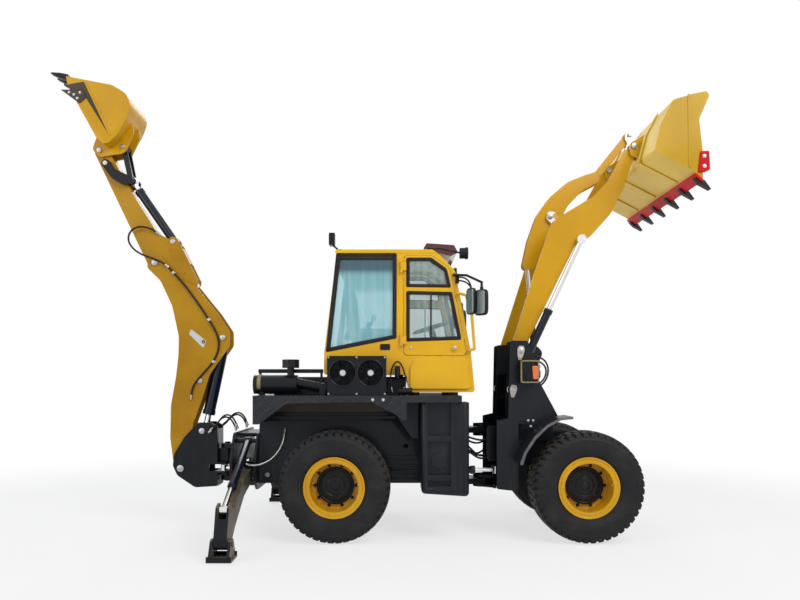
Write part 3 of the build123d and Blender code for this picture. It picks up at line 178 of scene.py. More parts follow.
def treadPlateFinish(name, spec):
    # paint over a pattern of short raised bars, turned one way and the other in squares
    material, start = newMaterial(name)
    place = objectPlace(start)
    along, across = (axisOf(start, axis, turn=(0, 0.785, 0)) + axisOf(start, "Y") * 0.7 for axis in "XZ")
    first = (along * 210).wave().step(0.45, 0.9) * (across * 70).wave().step(-0.1, 0.5)
    second = (across * 210).wave().step(0.45, 0.9) * (along * 70).wave().step(0.1, -0.5)
    bars = first.top(second)
    broad = noise(start, place, 2.0).step(0.35, 0.7)
    speck = noise(start, place, 38, 6, 0.7).step(0.56, 0.72)
    dirt = (speck * 0.6 + broad * 0.25 + faceUp(start) * 0.35) * spec["dustAmount"]
    base = (bars * 0.1).mix(dirt.mix(spec["colour"], spec["dust"]), spec["bare"])
    finishMaterial(start, {
        "Base Color": base, "Roughness": dirt * 0.4 + spec["rough"], "Coat Weight": spec["coat"],
        "Coat Roughness": 0.12, "Specular IOR Level": 0.2, "Normal": bump(start, bars, 0.7, 0.003),
    })
    return material


def rubberFinish(name, colour, dust, dustAmount, rough, grain=90.0):
    # dark rubber, greyed by dust in soft patches, with a fine grain
    material, start = newMaterial(name)
    place = objectPlace(start)
    patch = noise(start, place, 5, 6, 0.6).step(0.4, 0.74)
    fine = noise(start, place, grain, 4)
    smear = noise(start, objectPlace(start, (1, 1, 6)), 7, 5).step(0.5, 0.8)
    base = ((patch * 0.7 + smear * 0.4) * dustAmount).mix(colour, dust)
    finishMaterial(start, {
        "Base Color": base, "Roughness": fine * 0.15 + patch * 0.1 + (rough - 0.1),
        "Specular IOR Level": 0.22, "Normal": bump(start, fine, 0.25, 0.002),
    })
    return material


def metalFinish(name, colour, rough, brushed, grime):
    # bare or plated metal with fine lines and a thin film of grime
    material, start = newMaterial(name)
    lines = noise(start, objectPlace(start, brushed), 60, 3)
    film = noise(start, objectPlace(start), 8, 5).step(0.5, 0.8)
    base = (film * grime).mix(colour, (0.1, 0.09, 0.08))
    finishMaterial(start, {
        "Base Color": base, "Metallic": 1.0, "Roughness": lines * 0.12 + film * 0.15 + rough,
        "Normal": bump(start, lines, 0.04, 0.0008),
    })
    return material


def glassFinish(name, colour, alpha, bandLow, bandHigh):
    # tinted pane with a faint film of dust, pale upright folds behind it and a darker strip above a height
    material, start = newMaterial(name)
    film = noise(start, objectPlace(start), 3, 5).step(0.45, 0.75)
    fold = noise(start, objectPlace(start, (14, 14, 0.5)), 1.6, 2).step(0.4, 0.62)
    strip = axisOf(start, "Z").step(bandLow, bandHigh)
    tint = (film * 0.25).mix((fold * 0.3).mix(colour, (0.66, 0.9, 0.94)), (0.5, 0.58, 0.58))
    finishMaterial(start, {
        "Base Color": (strip * 0.9).mix(tint, (0.03, 0.07, 0.11)), "Roughness": film * 0.08 + 0.03,
        "Alpha": film * 0.06 + fold * 0.06 + strip * 0.38 + alpha, "Specular IOR Level": 0.5,
    })
    return material


def lensFinish(name, colour, alpha):
    # ribbed moulded lens
    material, start = newMaterial(name)
    ribs = (axisOf(start, "Y") * 420).wave()
    film = noise(start, objectPlace(start), 20, 4).step(0.5, 0.8)
    finishMaterial(start, {
        "Base Color": (film * 0.2).mix(colour, (0.25, 0.23, 0.2)), "Roughness": film * 0.2 + 0.08,
        "Alpha": film * 0.05 + alpha, "Coat Weight": 0.6, "Normal": bump(start, ribs, 0.35, 0.0015),
    })
    return material


def finFinish(name):
    # fine upright fins of a cooler core
    material, start = newMaterial(name)
    fins = (axisOf(start, "X") * 900).wave()
    rows = (axisOf(start, "Z") * 260).wave().step(0.6, 0.9)
    dirt = noise(start, objectPlace(start), 14, 5).step(0.45, 0.75)
    base = (dirt * 0.4).mix(rows.mix((0.01, 0.01, 0.011), (0.035, 0.035, 0.036)), (0.08, 0.07, 0.055))
    finishMaterial(start, {"Base Color": base, "Roughness": dirt * 0.3 + 0.4, "Metallic": 0.3,
                           "Normal": bump(start, fins, 0.8, 0.002)})
    return material


yellowDust = (0.36, 0.27, 0.13)
paints = {
    "bodyYellow": {
        "colour": (0.8, 0.45, 0.002), "shade": (0.73, 0.385, 0.002), "dust": yellowDust,
        "bare": (0.8, 0.58, 0.2), "dustAmount": 0.12, "wear": 0.08, "rough": 0.24, "coat": 0.5, "gloss": 0.15},
    "armYellow": {
        "colour": (0.62, 0.33, 0.004), "shade": (0.55, 0.285, 0.004), "dust": yellowDust,
        "bare": (0.66, 0.46, 0.16), "dustAmount": 0.24, "wear": 0.22, "rough": 0.34, "coat": 0.18, "gloss": 0.15},
    "boomYellow": {
        "colour": (0.46, 0.232, 0.002), "shade": (0.36, 0.172, 0.001), "dust": (0.3, 0.2, 0.09),
        "bare": (0.55, 0.37, 0.12), "dustAmount": 0.34, "wear": 0.22, "rough": 0.36, "coat": 0.15, "gloss": 0.15},
    "bucketYellow": {
        "colour": (0.56, 0.335, 0.003), "shade": (0.47, 0.27, 0.002), "dust": (0.46, 0.34, 0.14),
        "bare": (0.66, 0.5, 0.2), "dustAmount": 0.3, "wear": 0.3, "rough": 0.36, "coat": 0.15, "gloss": 0.14},
    # painted light: a paler copy of the bucket's yellow, for the loader bucket's faces that look down and back
    "bucketPale": {
        "colour": (0.97, 0.7, 0.155), "shade": (0.9, 0.62, 0.11), "dust": (0.6, 0.46, 0.24),
        "bare": (0.8, 0.66, 0.36), "dustAmount": 0.35, "wear": 0.3, "rough": 0.4, "coat": 0.1, "gloss": 0.14},
    "chassisDark": {
        "colour": (0.0135, 0.0155, 0.021), "shade": (0.008, 0.0095, 0.014), "dust": (0.115, 0.1, 0.08),
        "bare": (0.1, 0.1, 0.105), "dustAmount": 0.34, "wear": 0.3, "rough": 0.34, "coat": 0.12, "gloss": 0.14},
    # painted shade: a darker copy of chassisDark with no coat or gloss, for the front frame's faces that look back and
    # up
    "hollowDark": {
        "colour": (0.008, 0.009, 0.012), "shade": (0.006, 0.007, 0.009), "dust": (0.05, 0.045, 0.038),
        "bare": (0.04, 0.04, 0.04), "dustAmount": 0.3, "wear": 0.1, "rough": 0.75, "coat": 0.0, "gloss": 0.0},
    "blackPaint": {
        "colour": (0.005, 0.006, 0.009), "shade": (0.008, 0.009, 0.012), "dust": (0.08, 0.072, 0.06),
        "bare": (0.09, 0.09, 0.09), "dustAmount": 0.25, "wear": 0.25, "rough": 0.3, "coat": 0.15, "gloss": 0.14},
    "tubeNavy": {
        "colour": (0.005, 0.008, 0.022), "shade": (0.004, 0.006, 0.015), "dust": (0.09, 0.085, 0.08),
        "bare": (0.14, 0.14, 0.15), "dustAmount": 0.22, "wear": 0.3, "rough": 0.26, "coat": 0.25, "gloss": 0.2},
    "rimGold": {
        "colour": (0.66, 0.35, 0.004), "shade": (0.58, 0.285, 0.004), "dust": (0.16, 0.1, 0.05),
        "bare": (0.66, 0.46, 0.16), "dustAmount": 0.38, "wear": 0.25, "rough": 0.3, "coat": 0.25, "gloss": 0.18},
    "edgeRed": {
        "colour": (0.66, 0.003, 0.012), "shade": (0.5, 0.003, 0.01), "dust": (0.36, 0.12, 0.08),
        "bare": (0.5, 0.16, 0.14), "dustAmount": 0.12, "wear": 0.25, "rough": 0.4, "coat": 0.1, "gloss": 0.1},
    "toothBlack": {
        "colour": (0.008, 0.008, 0.009), "shade": (0.014, 0.013, 0.012), "dust": (0.13, 0.1, 0.07),
        "bare": (0.2, 0.18, 0.16), "dustAmount": 0.4, "wear": 0.5, "rough": 0.4, "coat": 0.08, "gloss": 0.15},
    "visorMaroon": {
        "colour": (0.105, 0.018, 0.024), "shade": (0.07, 0.012, 0.016), "dust": (0.16, 0.11, 0.1),
        "bare": (0.25, 0.14, 0.13), "dustAmount": 0.3, "wear": 0.25, "rough": 0.22, "coat": 0.6, "gloss": 0.2},
    "legTan": {
        "colour": (0.11, 0.086, 0.058), "shade": (0.045, 0.038, 0.03), "dust": (0.3, 0.225, 0.135),
        "bare": (0.25, 0.22, 0.18), "dustAmount": 0.95, "wear": 0.45, "rough": 0.42, "coat": 0.1, "gloss": 0.2},
    "strapTan": {
        "colour": (0.32, 0.24, 0.13), "shade": (0.24, 0.18, 0.1), "dust": (0.4, 0.34, 0.25),
        "bare": (0.5, 0.45, 0.38), "dustAmount": 0.3, "wear": 0.3, "rough": 0.5, "coat": 0.0, "gloss": 0.2},
    "capWhite": {
        "colour": (0.62, 0.63, 0.64), "shade": (0.54, 0.55, 0.56), "dust": (0.35, 0.32, 0.28),
        "bare": (0.7, 0.7, 0.7), "dustAmount": 0.3, "wear": 0.2, "rough": 0.35, "coat": 0.3, "gloss": 0.2},
    "innerBrown": {
        "colour": (0.085, 0.066, 0.048), "shade": (0.06, 0.048, 0.038), "dust": (0.15, 0.115, 0.08),
        "bare": (0.14, 0.12, 0.1), "dustAmount": 0.8, "wear": 0.2, "rough": 0.55, "coat": 0.0, "gloss": 0.2},
}
# colour, dust, amount of dust, roughness and, where it isn't the usual one, the scale of the grain
rubbers = {
    "tyreRubber": ((0.01, 0.0105, 0.012), (0.055, 0.052, 0.047), 0.4, 0.6),
    "treadRubber": ((0.02, 0.0195, 0.019), (0.15, 0.13, 0.1), 0.6, 0.66),
    "hoseRubber": ((0.011, 0.011, 0.012), (0.05, 0.046, 0.042), 0.3, 0.5, 220),
    "sealRubber": ((0.01, 0.01, 0.011), (0.04, 0.038, 0.035), 0.25, 0.45, 260),
    "seatBlack": ((0.02, 0.02, 0.023), (0.06, 0.06, 0.06), 0.2, 0.62, 300),
    "cleanGrey": ((0.1, 0.1, 0.1), (0.3, 0.29, 0.27), 0.5, 0.45),
}
# colour, roughness, stretch of the fine lines and amount of grime
metals = {
    "rodChrome": ((0.74, 0.74, 0.75), 0.1, (1, 1, 8), 0.15),
    "pinSteel": ((0.44, 0.44, 0.45), 0.3, (6, 6, 6), 0.45),
    "mirrorGlass": ((0.26, 0.29, 0.28), 0.06, (1, 1, 1), 0.06),
    "hoseBraid": ((0.5, 0.49, 0.46), 0.35, (30, 30, 30), 0.4),
    "plateGrey": ((0.42, 0.4, 0.36), 0.42, (4, 4, 4), 0.5),
}
# colour, alpha, and the two heights between which the dark strip comes in
glasses = {
    "sideGlass": ((0.34, 0.74, 0.82), 0.4, 2.6, 2.7),
    "paneGlass": ((0.3, 0.46, 0.44), 0.24, 9.0, 9.5),
}
# colour and alpha
lenses = {
    "clearLens": ((0.62, 0.66, 0.68), 0.75),
    "amberLens": ((0.8, 0.16, 0.01), 0.95),
    "redLens": ((0.45, 0.01, 0.01), 0.95),
}
finishes = {name: paintFinish(name, spec) for name, spec in paints.items()}
finishes["treadPlate"] = treadPlateFinish("treadPlate", paints["chassisDark"])
finishes["coolerFins"] = finFinish("coolerFins")
for make, rows in ((rubberFinish, rubbers), (metalFinish, metals), (glassFinish, glasses), (lensFinish, lenses)):
    for name, row in rows.items():
        finishes[name] = make(name, *row)
print("finishes made:", len(finishes))


def metres(points):
    # machine millimetres, x forward from the rear axle, to the frame's metres
    return np.asarray(points, float) / 1000 - (originX, 0, 0)


def showMesh(name, mesh, body, finish, angle=38):
    # one piece of the object, with its edges kept sharp past the angle
    mesh.shade_smooth()
    mesh.set_sharp_from_angle(angle=math.radians(angle))
    mesh.materials.clear()
    mesh.materials.append(finishes[finish])
    piece = bpy.data.objects.new(name, mesh)
    bpy.context.scene.collection.objects.link(piece)
    if body:
        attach(piece, body)
    return piece


def addPiece(name, vertices, faces, body, finish):
    # seams and poles are merged, and the faces are turned outwards
    mesh = bpy.data.meshes.new(name)
    mesh.from_pydata(np.asarray(vertices).reshape(-1, 3).tolist(), [], [list(face) for face in faces])
    work = bmesh.new()
    work.from_mesh(mesh)
    bmesh.ops.remove_doubles(work, verts=work.verts, dist=1e-6)
    bmesh.ops.recalc_face_normals(work, faces=work.faces)
    work.to_mesh(mesh)
    work.free()
    return showMesh(name, mesh, body, finish)


def gridFaces(rows, columns, wrapRows=False, wrapColumns=False):
    # quads between neighbouring points of a rows x columns grid
    r = np.arange(rows if wrapRows else rows - 1)[:, None]
    c = np.arange(columns if wrapColumns else columns - 1)[None, :]
    a = r * columns + c
    b = r * columns + (c + 1) % columns
    d = ((r + 1) % rows) * columns + c
    e = ((r + 1) % rows) * columns + (c + 1) % columns
    return np.stack([a, b, e, d], -1).reshape(-1, 4)


def gathered(parts):
    # several (points, faces) shapes as one
    points, faces, start = [], [], 0
    for shapePoints, shapeFaces in parts:
        flat = np.asarray(shapePoints).reshape(-1, 3)
        points.append(flat)
        faces.extend([tuple(int(i) + start for i in face) for face in shapeFaces])
        start += len(flat)
    return np.concatenate(points), faces


def rounded(piece, width):
    # live bevel that catches the light on every sharp edge
    edge = piece.modifiers.new("roundedEdges", "BEVEL")
    edge.width = width
    edge.segments = 2
    edge.limit_method = "ANGLE"
    edge.angle_limit = math.radians(35)
    edge.harden_normals = True
    edge.use_clamp_overlap = True
    return piece


def put(name, parts, body, finish, width=0.0):
    # piece from one shape or a list of shapes in machine millimetres, with its edges rounded by that width
    points, faces = gathered(parts if isinstance(parts, list) else [parts])
    piece = addPiece(name, metres(points), faces, body, finish)
    return rounded(piece, width) if width else piece


def axisFrame(direction):
    # an axis and two directions across it
    along = np.array(direction, float)
    along = along / np.linalg.norm(along)
    beside = np.cross(along, (0, 0, 1) if abs(along[2]) < 0.9 else (1, 0, 0))
    beside = beside / np.linalg.norm(beside)
    return along, beside, np.cross(along, beside)


def turned(profile, centre, direction, turns=24):
    # (radius, along) profile turned round an axis through the centre
    along, beside, over = axisFrame(direction)
    angle = np.arange(turns) / turns * 2 * np.pi + np.pi / turns
    profile = np.array(profile, float)
    ring = np.cos(angle)[:, None, None] * beside + np.sin(angle)[:, None, None] * over
    points = np.array(centre, float) + ring * profile[None, :, :1] + profile[None, :, 1:] * along
    return points, gridFaces(turns, len(profile), True, False)


def hexBolt(centre, direction, size, height):
    # six-sided head on a washer
    washer = turned([(0, 0), (size * 1.35, 0), (size * 1.35, 2.5), (0, 2.5)], centre, direction, 16)
    head = turned([(0, 2), (size, 2), (size, height * 0.8), (size * 0.82, height), (0, height)], centre, direction, 6)
    return gathered([washer, head])


def roundedLoop(corners, steps=5):
    # (u, v, radius) outline with its corners as arcs, as points (u, v)
    corners = np.array(corners, float)
    place, radius = corners[:, :2], corners[:, 2]
    back = np.roll(place, 1, 0) - place
    ahead = np.roll(place, -1, 0) - place
    backSize = np.linalg.norm(back, axis=1, keepdims=True)
    aheadSize = np.linalg.norm(ahead, axis=1, keepdims=True)
    back, ahead = back / backSize, ahead / aheadSize
    half = np.arccos(np.clip((back * ahead).sum(1), -1, 1)) / 2
    cut = np.minimum(radius / np.tan(half), 0.47 * np.minimum(backSize, aheadSize)[:, 0])[:, None]
    share = np.linspace(0, 1, steps)[None, :, None]
    start, end = (place + back * cut)[:, None], (place + ahead * cut)[:, None]
    bend = start * (1 - share) ** 2 + 2 * place[:, None] * share * (1 - share) + end * share ** 2
    return bend.reshape(-1, 2)


def loopNormals(loop):
    # directions that point to the inside of a closed loop
    area = 0.5 * np.sum(loop[:, 0] * np.roll(loop[:, 1], -1) - np.roll(loop[:, 0], -1) * loop[:, 1])
    run = np.roll(loop, -1, 0) - np.roll(loop, 1, 0)
    run = run / np.maximum(np.linalg.norm(run, axis=1, keepdims=True), 1e-9)
    return np.stack([-run[:, 1], run[:, 0]], 1) * (1 if area > 0 else -1)


def loopBand(corners, width, low, high, place, crown=2.0):
    # border of that width inside an outline; its section is a box with a crowned outer face
    loop = roundedLoop(corners)
    inward = loopNormals(loop)
    section = [(0.0, low), (0.0, high), (0.3, high + crown), (0.7, high + crown), (1.0, high), (1.0, low)]
    points = np.stack([place(*(loop + inward * width * share).T, level) for share, level in section], 1)
    return points, gridFaces(len(loop), len(section), True, True)


def flatPlate(corners, low, high, place):
    # closed plate between two levels, with its two faces as single polygons
    loop = roundedLoop(corners)
    count = len(loop)
    points = np.concatenate([place(*loop.T, low + 0 * loop[:, 0]), place(*loop.T, high + 0 * loop[:, 0])])
    faces = [tuple(range(count)), tuple(range(2 * count - 1, count - 1, -1))]
    faces += [tuple(face) for face in gridFaces(2, count, False, True)]
    return points, faces


def sidePlace(side):
    # u is x, v is z, and the level is the distance out from the middle
    return lambda u, v, level: np.stack([u, side * level + 0 * u, v], -1)


def onSide(points, side):
    # points or directions given on the left side, on either side
    return np.array(points, float) * (1, side, 1)


def sideBox(side, low, high):
    # box given on the left side, on either side
    ends = onSide([low, high], side)
    return ends.min(0), ends.max(0)


def boxShape(low, high):
    # the eight corners between two, and the six quads between them
    low, high = np.array(low, float), np.array(high, float)
    corner = np.array([(0, 0), (1, 0), (1, 1), (0, 1)])
    points = [np.concatenate([low[:2] + corner * (high - low)[:2], np.full((4, 1), z)], 1) for z in (low[2], high[2])]
    return np.concatenate(points), [(0, 3, 2, 1), (4, 5, 6, 7), (0, 1, 5, 4), (1, 2, 6, 5), (2, 3, 7, 6), (3, 0, 4, 7)]


def inBox(point, low, high):
    return all(a <= value <= b for a, value, b in zip(low, point, high))


def islandsOf(work):
    # connected groups of faces
    seen, groups = set(), []
    for first in work.faces:
        if first.index in seen:
            continue
        seen.add(first.index)
        group, wait = [], [first]
        while wait:
            face = wait.pop()
            group.append(face)
            for edge in face.edges:
                for other in edge.link_faces:
                    if other.index not in seen:
                        seen.add(other.index)
                        wait.append(other)
        groups.append(group)
    return groups


def dressNode(node, finish, spec):
    # merged copy of a node's mesh with rounded edges; zones of it take other finishes, by face, by whole solid or
    # by the way a face looks, and faces or solids inside a drop box are left to the pieces that stand for them
    work = bmesh.new()
    work.from_mesh(frame["nodes"][node].data)
    bmesh.ops.remove_doubles(work, verts=work.verts, dist=2e-5)
    if spec.get("joinFlat", True):
        bmesh.ops.dissolve_limit(work, angle_limit=math.radians(0.6), verts=work.verts, edges=work.edges)
    work.faces.ensure_lookup_table()
    work.faces.index_update()
    names = [finish]

    solids = [(group, np.array([vertex.co for face in group for vertex in face.verts])) for group in islandsOf(work)]

    def facesIn(low, high, whole):
        # faces with their middle in the box, or all faces of the solids that lie in it
        low, high = metres(low), metres(high)
        if whole:
            return [face for group, points in solids for face in group
                    if inBox(points.min(0), low, high) and inBox(points.max(0), low, high)]
        return [face for face in work.faces if inBox(face.calc_center_median(), low, high)]

    zones = [(zoneFinish, facesIn(low, high, whole)) for zoneFinish, low, high, *whole in spec.get("zones", [])]
    zones += [(zoneFinish, [face for face in work.faces if face.normal.dot(Vector(direction)) > limit])
              for zoneFinish, direction, limit in spec.get("facing", [])]
    for zoneFinish, faces in zones:
        if zoneFinish not in names:
            names.append(zoneFinish)
        for face in faces:
            face.material_index = names.index(zoneFinish)
    dropped = [face for key, whole in (("dropFaces", False), ("drop", True))
               for low, high in spec.get(key, []) for face in facesIn(low, high, whole)]
    bmesh.ops.delete(work, geom=list(set(dropped)), context="FACES")
    mesh = bpy.data.meshes.new(node + "_dressed")
    work.to_mesh(mesh)
    work.free()
    chosen = np.zeros(len(mesh.polygons), np.int32)
    mesh.polygons.foreach_get("material_index", chosen)
    piece = showMesh(node + "_dressed", mesh, nodeBody[node], finish, 32)
    for extra in names[1:]:
        mesh.materials.append(finishes[extra])
    mesh.polygons.foreach_set("material_index", chosen)
    width = spec.get("edge", 0.003)
    if width:
        rounded(piece, width)
    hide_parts(node)


def bothZones(finish, low, high, *whole):
    return [(finish, *sideBox(side, low, high), *whole) for side in sideNames]


plainNodes = {
    "chassisDark": "rear_chassis", "innerBrown": "engine_block", "blackPaint": "rear_axle front_axle dig_link",
    "bodyYellow": "cab_shell cab_roof", "toothBlack": "rocker",
    "tubeNavy": "lift_tubes tilt_tube swing_tube_right swing_tube_left boom_tube dipper_tube curl_tube "
                "leg_tube_right leg_tube_left",
    "rodChrome": "steering_rod lift_rods tilt_rod swing_rod_right swing_rod_left boom_rod dipper_rod curl_rod "
                 "leg_rod_right leg_rod_left",
}
legFacing = [("legTan", (1, 0, 0), 0.5), ("legTan", (0, 0, 1), 0.6)]
nodeLooks = {node: (finish, {}) for finish, nodes in plainNodes.items() for node in nodes.split()}
nodeLooks.update({
    "deck": ("chassisDark", {"zones": [("treadPlate", (-800, -935, 1432), (1240, 935, 1440))]
                             + bothZones("treadPlate", (-800, 926, 1100), (1240, 935, 1440))}),
    "step_boxes": ("chassisDark", {"joinFlat": False}),
    "operator_station": ("seatBlack", {"edge": 0.002, "drop": [((40, -270, 1895), (650, 270, 2600))]}),
    "cab_fittings": ("visorMaroon", {
        "zones": bothZones("blackPaint", (-100, 430, 1500), (1500, 1100, 3100), True)
        + bothZones("bodyYellow", (1190, 700, 1850), (1400, 790, 2470), True),
        "dropFaces": [sideBox(side, (1378, 910, 2203), (1442, 1087, 2452)) for side in sideNames]}),
    "cooler": ("blackPaint", {"edge": 0.0015}),
    "air_cleaner": ("blackPaint", {"zones": [("strapTan", (-772, -805, 1500), (-733, -595, 1650))]}),
    # the front frame's faces that look back and those that look up take the painted shade finish
    "front_frame": ("chassisDark", {"edge": 0.004, "facing": [
        ("hollowDark", (-1, 0, 0), 0.8), ("hollowDark", (0, 0, 1), 0.8)]}),
    "front_fenders": ("chassisDark", {"zones": bothZones("blackPaint", (1825, 588, 1555), (2030, 782, 1785))
                                      + bothZones("cleanGrey", (1780, 955, 760), (2310, 965, 1240))}),
    "steering_tube": ("tubeNavy", {"joinFlat": False}),
    "loader_arm": ("armYellow", {"edge": 0.004, "zones": [("pinSteel", (2225, -125, 3315), (2300, 125, 3390))]
                                 + bothZones("pinSteel", (3005, 340, 3950), (3075, 505, 4020))}),
    "bell_crank": ("armYellow", {"edge": 0.004}),
    "bucket_link": ("armYellow", {"edge": 0.005}),
    # the loader bucket's faces that look down and those that look back take a paler yellow: painted light
    "loader_bucket": ("bucketYellow", {
        "edge": 0.002, "facing": [("bucketPale", (0.25, 0, -1), 0.55), ("bucketPale", (-1, 0, -0.1), 0.7)],
        "zones": [("pinSteel", (3105, -85, 4215), (3160, 85, 4275))]}),
    "bucket_teeth": ("edgeRed", {"edge": 0.002, "zones": [
        ("toothBlack", (3380, y - 33, 3400), (3700, y + 33, 3650)) for y in range(-950, 951, 380)]}),
    "swing_post": ("blackPaint", {"edge": 0.004}),
    "boom": ("boomYellow", {"edge": 0.005}),
    "stick": ("boomYellow", {"edge": 0.005}),
    "dig_bucket": ("armYellow", {"edge": 0.003, "zones": [("toothBlack", (-3070, -270, 4755), (-2862, 270, 4850))]
                                 + bothZones("innerBrown", (-2945, 254, 4500), (-2668, 280, 4655))}),
    "cab_glass": ("paneGlass", {"edge": 0.0, "zones": bothZones(
        "sideGlass", (-200, 690, 1800), (700, 730, 2900), True)}),
})
for side, name in sideNames.items():
    nodeLooks["door_" + name] = ("bodyYellow", {"zones": [
        ("paneGlass", *sideBox(side, (700, 690, 1980), (1240, 730, 2790)), True)]})
    nodeLooks["leg_" + name] = ("blackPaint", {"facing": legFacing})
    nodeLooks["pad_" + name] = ("blackPaint", {"joinFlat": False, "edge": 0.002, "facing": legFacing})
for node, (finish, spec) in nodeLooks.items():
    dressNode(node, finish, spec)
print("nodes dressed:", len(nodeLooks))

wheelSize = {"radius": 0.545, "halfTrack": 0.76, "wheelbase": 2.46}
tyreSpec = {
    "radius": 0.5445, "treadHalf": 0.172, "treadSteps": 34, "treadBand": 0.013, "crownDrop": 0.01,
    "blocks": 44, "stepsPerBlock": 10, "depth": 0.017, "sideCut": 0.01, "slant": 0.45, "middleSlant": 1.6,
    # limits of the soft steps: where the shoulder starts, the gaps between blocks, the grooves round the tyre
    # and how far below the tread the pattern reaches
    "shoulder": (0.56, 0.6), "shoulderGap": (0.22, 0.36), "middleGap": (0.2, 0.34),
    "grooves": (0.0, 0.58, -0.58), "grooveEdge": (0.0065, 0.0105), "zigzag": 0.007,
    "reach": (0.052, 0.034), "wall": (0.052, 0.03),
    "side": [
        (0.2566, 0.1655), (0.292, 0.166), (0.3035, 0.169), (0.312, 0.18), (0.322, 0.186), (0.326, 0.1925),
        (0.338, 0.196), (0.352, 0.201), (0.372, 0.2055), (0.395, 0.208), (0.42, 0.2088), (0.445, 0.208),
        (0.458, 0.2068), (0.461, 0.2088), (0.47, 0.208), (0.474, 0.2045), (0.488, 0.2015), (0.5, 0.1985),
        (0.508, 0.1965), (0.518, 0.192), (0.527, 0.186), (0.5335, 0.179),
    ],
}
# (radius, outward distance) of the rim and of the hub that is bolted into it
rimProfile = [
    (0.2975, 0.1675), (0.298, 0.179), (0.294, 0.18), (0.286, 0.179), (0.278, 0.177), (0.276, 0.1745),
    (0.274, 0.1775), (0.26, 0.18), (0.245, 0.18), (0.237, 0.178), (0.235, 0.17), (0.234, 0.145),
    (0.233, 0.09), (0.231, 0.0), (0.229, -0.018), (0.215, -0.0215), (0.196, -0.02), (0.156, -0.02),
    (0.156, -0.03), (0.22, -0.032), (0.235, -0.035), (0.24, -0.1), (0.245, -0.178),
    (0.298, -0.179), (0.2975, -0.1675), (0.2562, -0.1665), (0.2558, -0.12), (0.244, -0.09),
    (0.244, 0.09), (0.2558, 0.12), (0.2562, 0.1665),
]
hubProfile = [
    (0.15, -0.159), (0.15, -0.03), (0.185, -0.019), (0.185, 0.006), (0.1835, 0.012), (0.178, 0.015),
    (0.165, 0.016), (0.162, 0.014), (0.158, 0.016), (0.1, 0.024), (0.096, 0.0215), (0.092, 0.0245),
    (0.045, 0.028), (0.042, 0.025), (0.038, 0.028), (0.0, 0.0292),
]
valveProfile = [(0, 0), (4, 0), (4, 26), (5.5, 26), (5.5, 38), (0, 38)]


def smoothStep(value, limits):
    # 0 below the first limit, 1 above the second, and three squares less two cubes of the share between them
    t = np.clip((value - limits[0]) / (limits[1] - limits[0]), 0, 1)
    return t * t * (3 - 2 * t)


def tyreSurface(spec):
    # a closed profile (radius, across) turned round the axle; grooves are pressed into the radius
    # where the tread pattern, a function of angle and of the distance across, is low
    half = spec["treadHalf"]
    side = np.array(spec["side"], float)
    tread = np.linspace(half, -half, spec["treadSteps"])
    crown = spec["radius"] - spec["crownDrop"] * (np.abs(tread) / half) ** 3
    outer = np.concatenate([side, np.stack([crown, tread], 1), side[::-1] * (1, -1)])
    turns = spec["blocks"] * spec["stepsPerBlock"]
    angle = (np.arange(turns) / turns * 2 * np.pi)[:, None]
    radius, across = outer.T[:, None, :] + np.zeros((turns, 1))
    phase = angle / (2 * np.pi) * spec["blocks"]
    slant = np.abs(across) / half * spec["slant"]
    shoulderCut = np.abs((phase + slant) % 1 - 0.5) * 2
    middleCut = np.abs((phase + slant * spec["middleSlant"] + 0.5) % 1 - 0.5) * 2
    shoulder = smoothStep(np.abs(across), half * np.array(spec["shoulder"]))
    outerBlock = smoothStep(shoulderCut, spec["shoulderGap"])
    block = shoulder * outerBlock + (1 - shoulder) * smoothStep(middleCut, spec["middleGap"])
    zigzag = spec["zigzag"] * np.sign(np.sin(phase * 2 * np.pi))
    for groove in spec["grooves"]:
        block = block * smoothStep(np.abs(across - groove * half - zigzag), spec["grooveEdge"])
    reach, wall = (smoothStep(radius, spec["radius"] - np.array(spec[key])) for key in ("reach", "wall"))
    radius = radius - spec["depth"] * (1 - block) * reach * wall
    cut = spec["sideCut"] * (1 - outerBlock) * reach
    across = np.where(np.abs(across) > half, across - np.sign(across) * cut, across)
    points = np.stack([radius * np.cos(angle), across, radius * np.sin(angle)], -1)
    return points, gridFaces(turns, points.shape[1], True, True)


def wheelTurned(profile, turns, wrap):
    # (radius, outward distance) profile turned round the axle
    angle = (np.arange(turns) / turns * 2 * np.pi)[:, None]
    radius, outward = np.array(profile, float).T
    points = np.stack([radius * np.cos(angle), outward + 0 * angle, radius * np.sin(angle)], -1)
    return points, gridFaces(turns, len(profile), True, wrap)


def boltRing(size, height, count, radius, start=0.0):
    # bolts that look outwards at even steps on a circle round the axle, in metres
    points, faces = hexBolt((0, 0, 0), (0, 1, 0), size, height)
    around = start + np.arange(count) / count * 2 * np.pi
    return gathered([(points / 1000 + (np.cos(a) * radius, 0, np.sin(a) * radius), faces) for a in around])


def onWheel(points, x, side):
    # outward is towards the machine's side
    return onSide(points, side) + (x - originX, side * wheelSize["halfTrack"], wheelSize["radius"])


tyrePoints, tyreFaces = tyreSurface(tyreSpec)
rimPoints, rimFaces = wheelTurned(rimProfile, 96, True)
valvePoints, valveFaces = turned(valveProfile, (0, 0, 0), (0.5, 0, 1), 10)
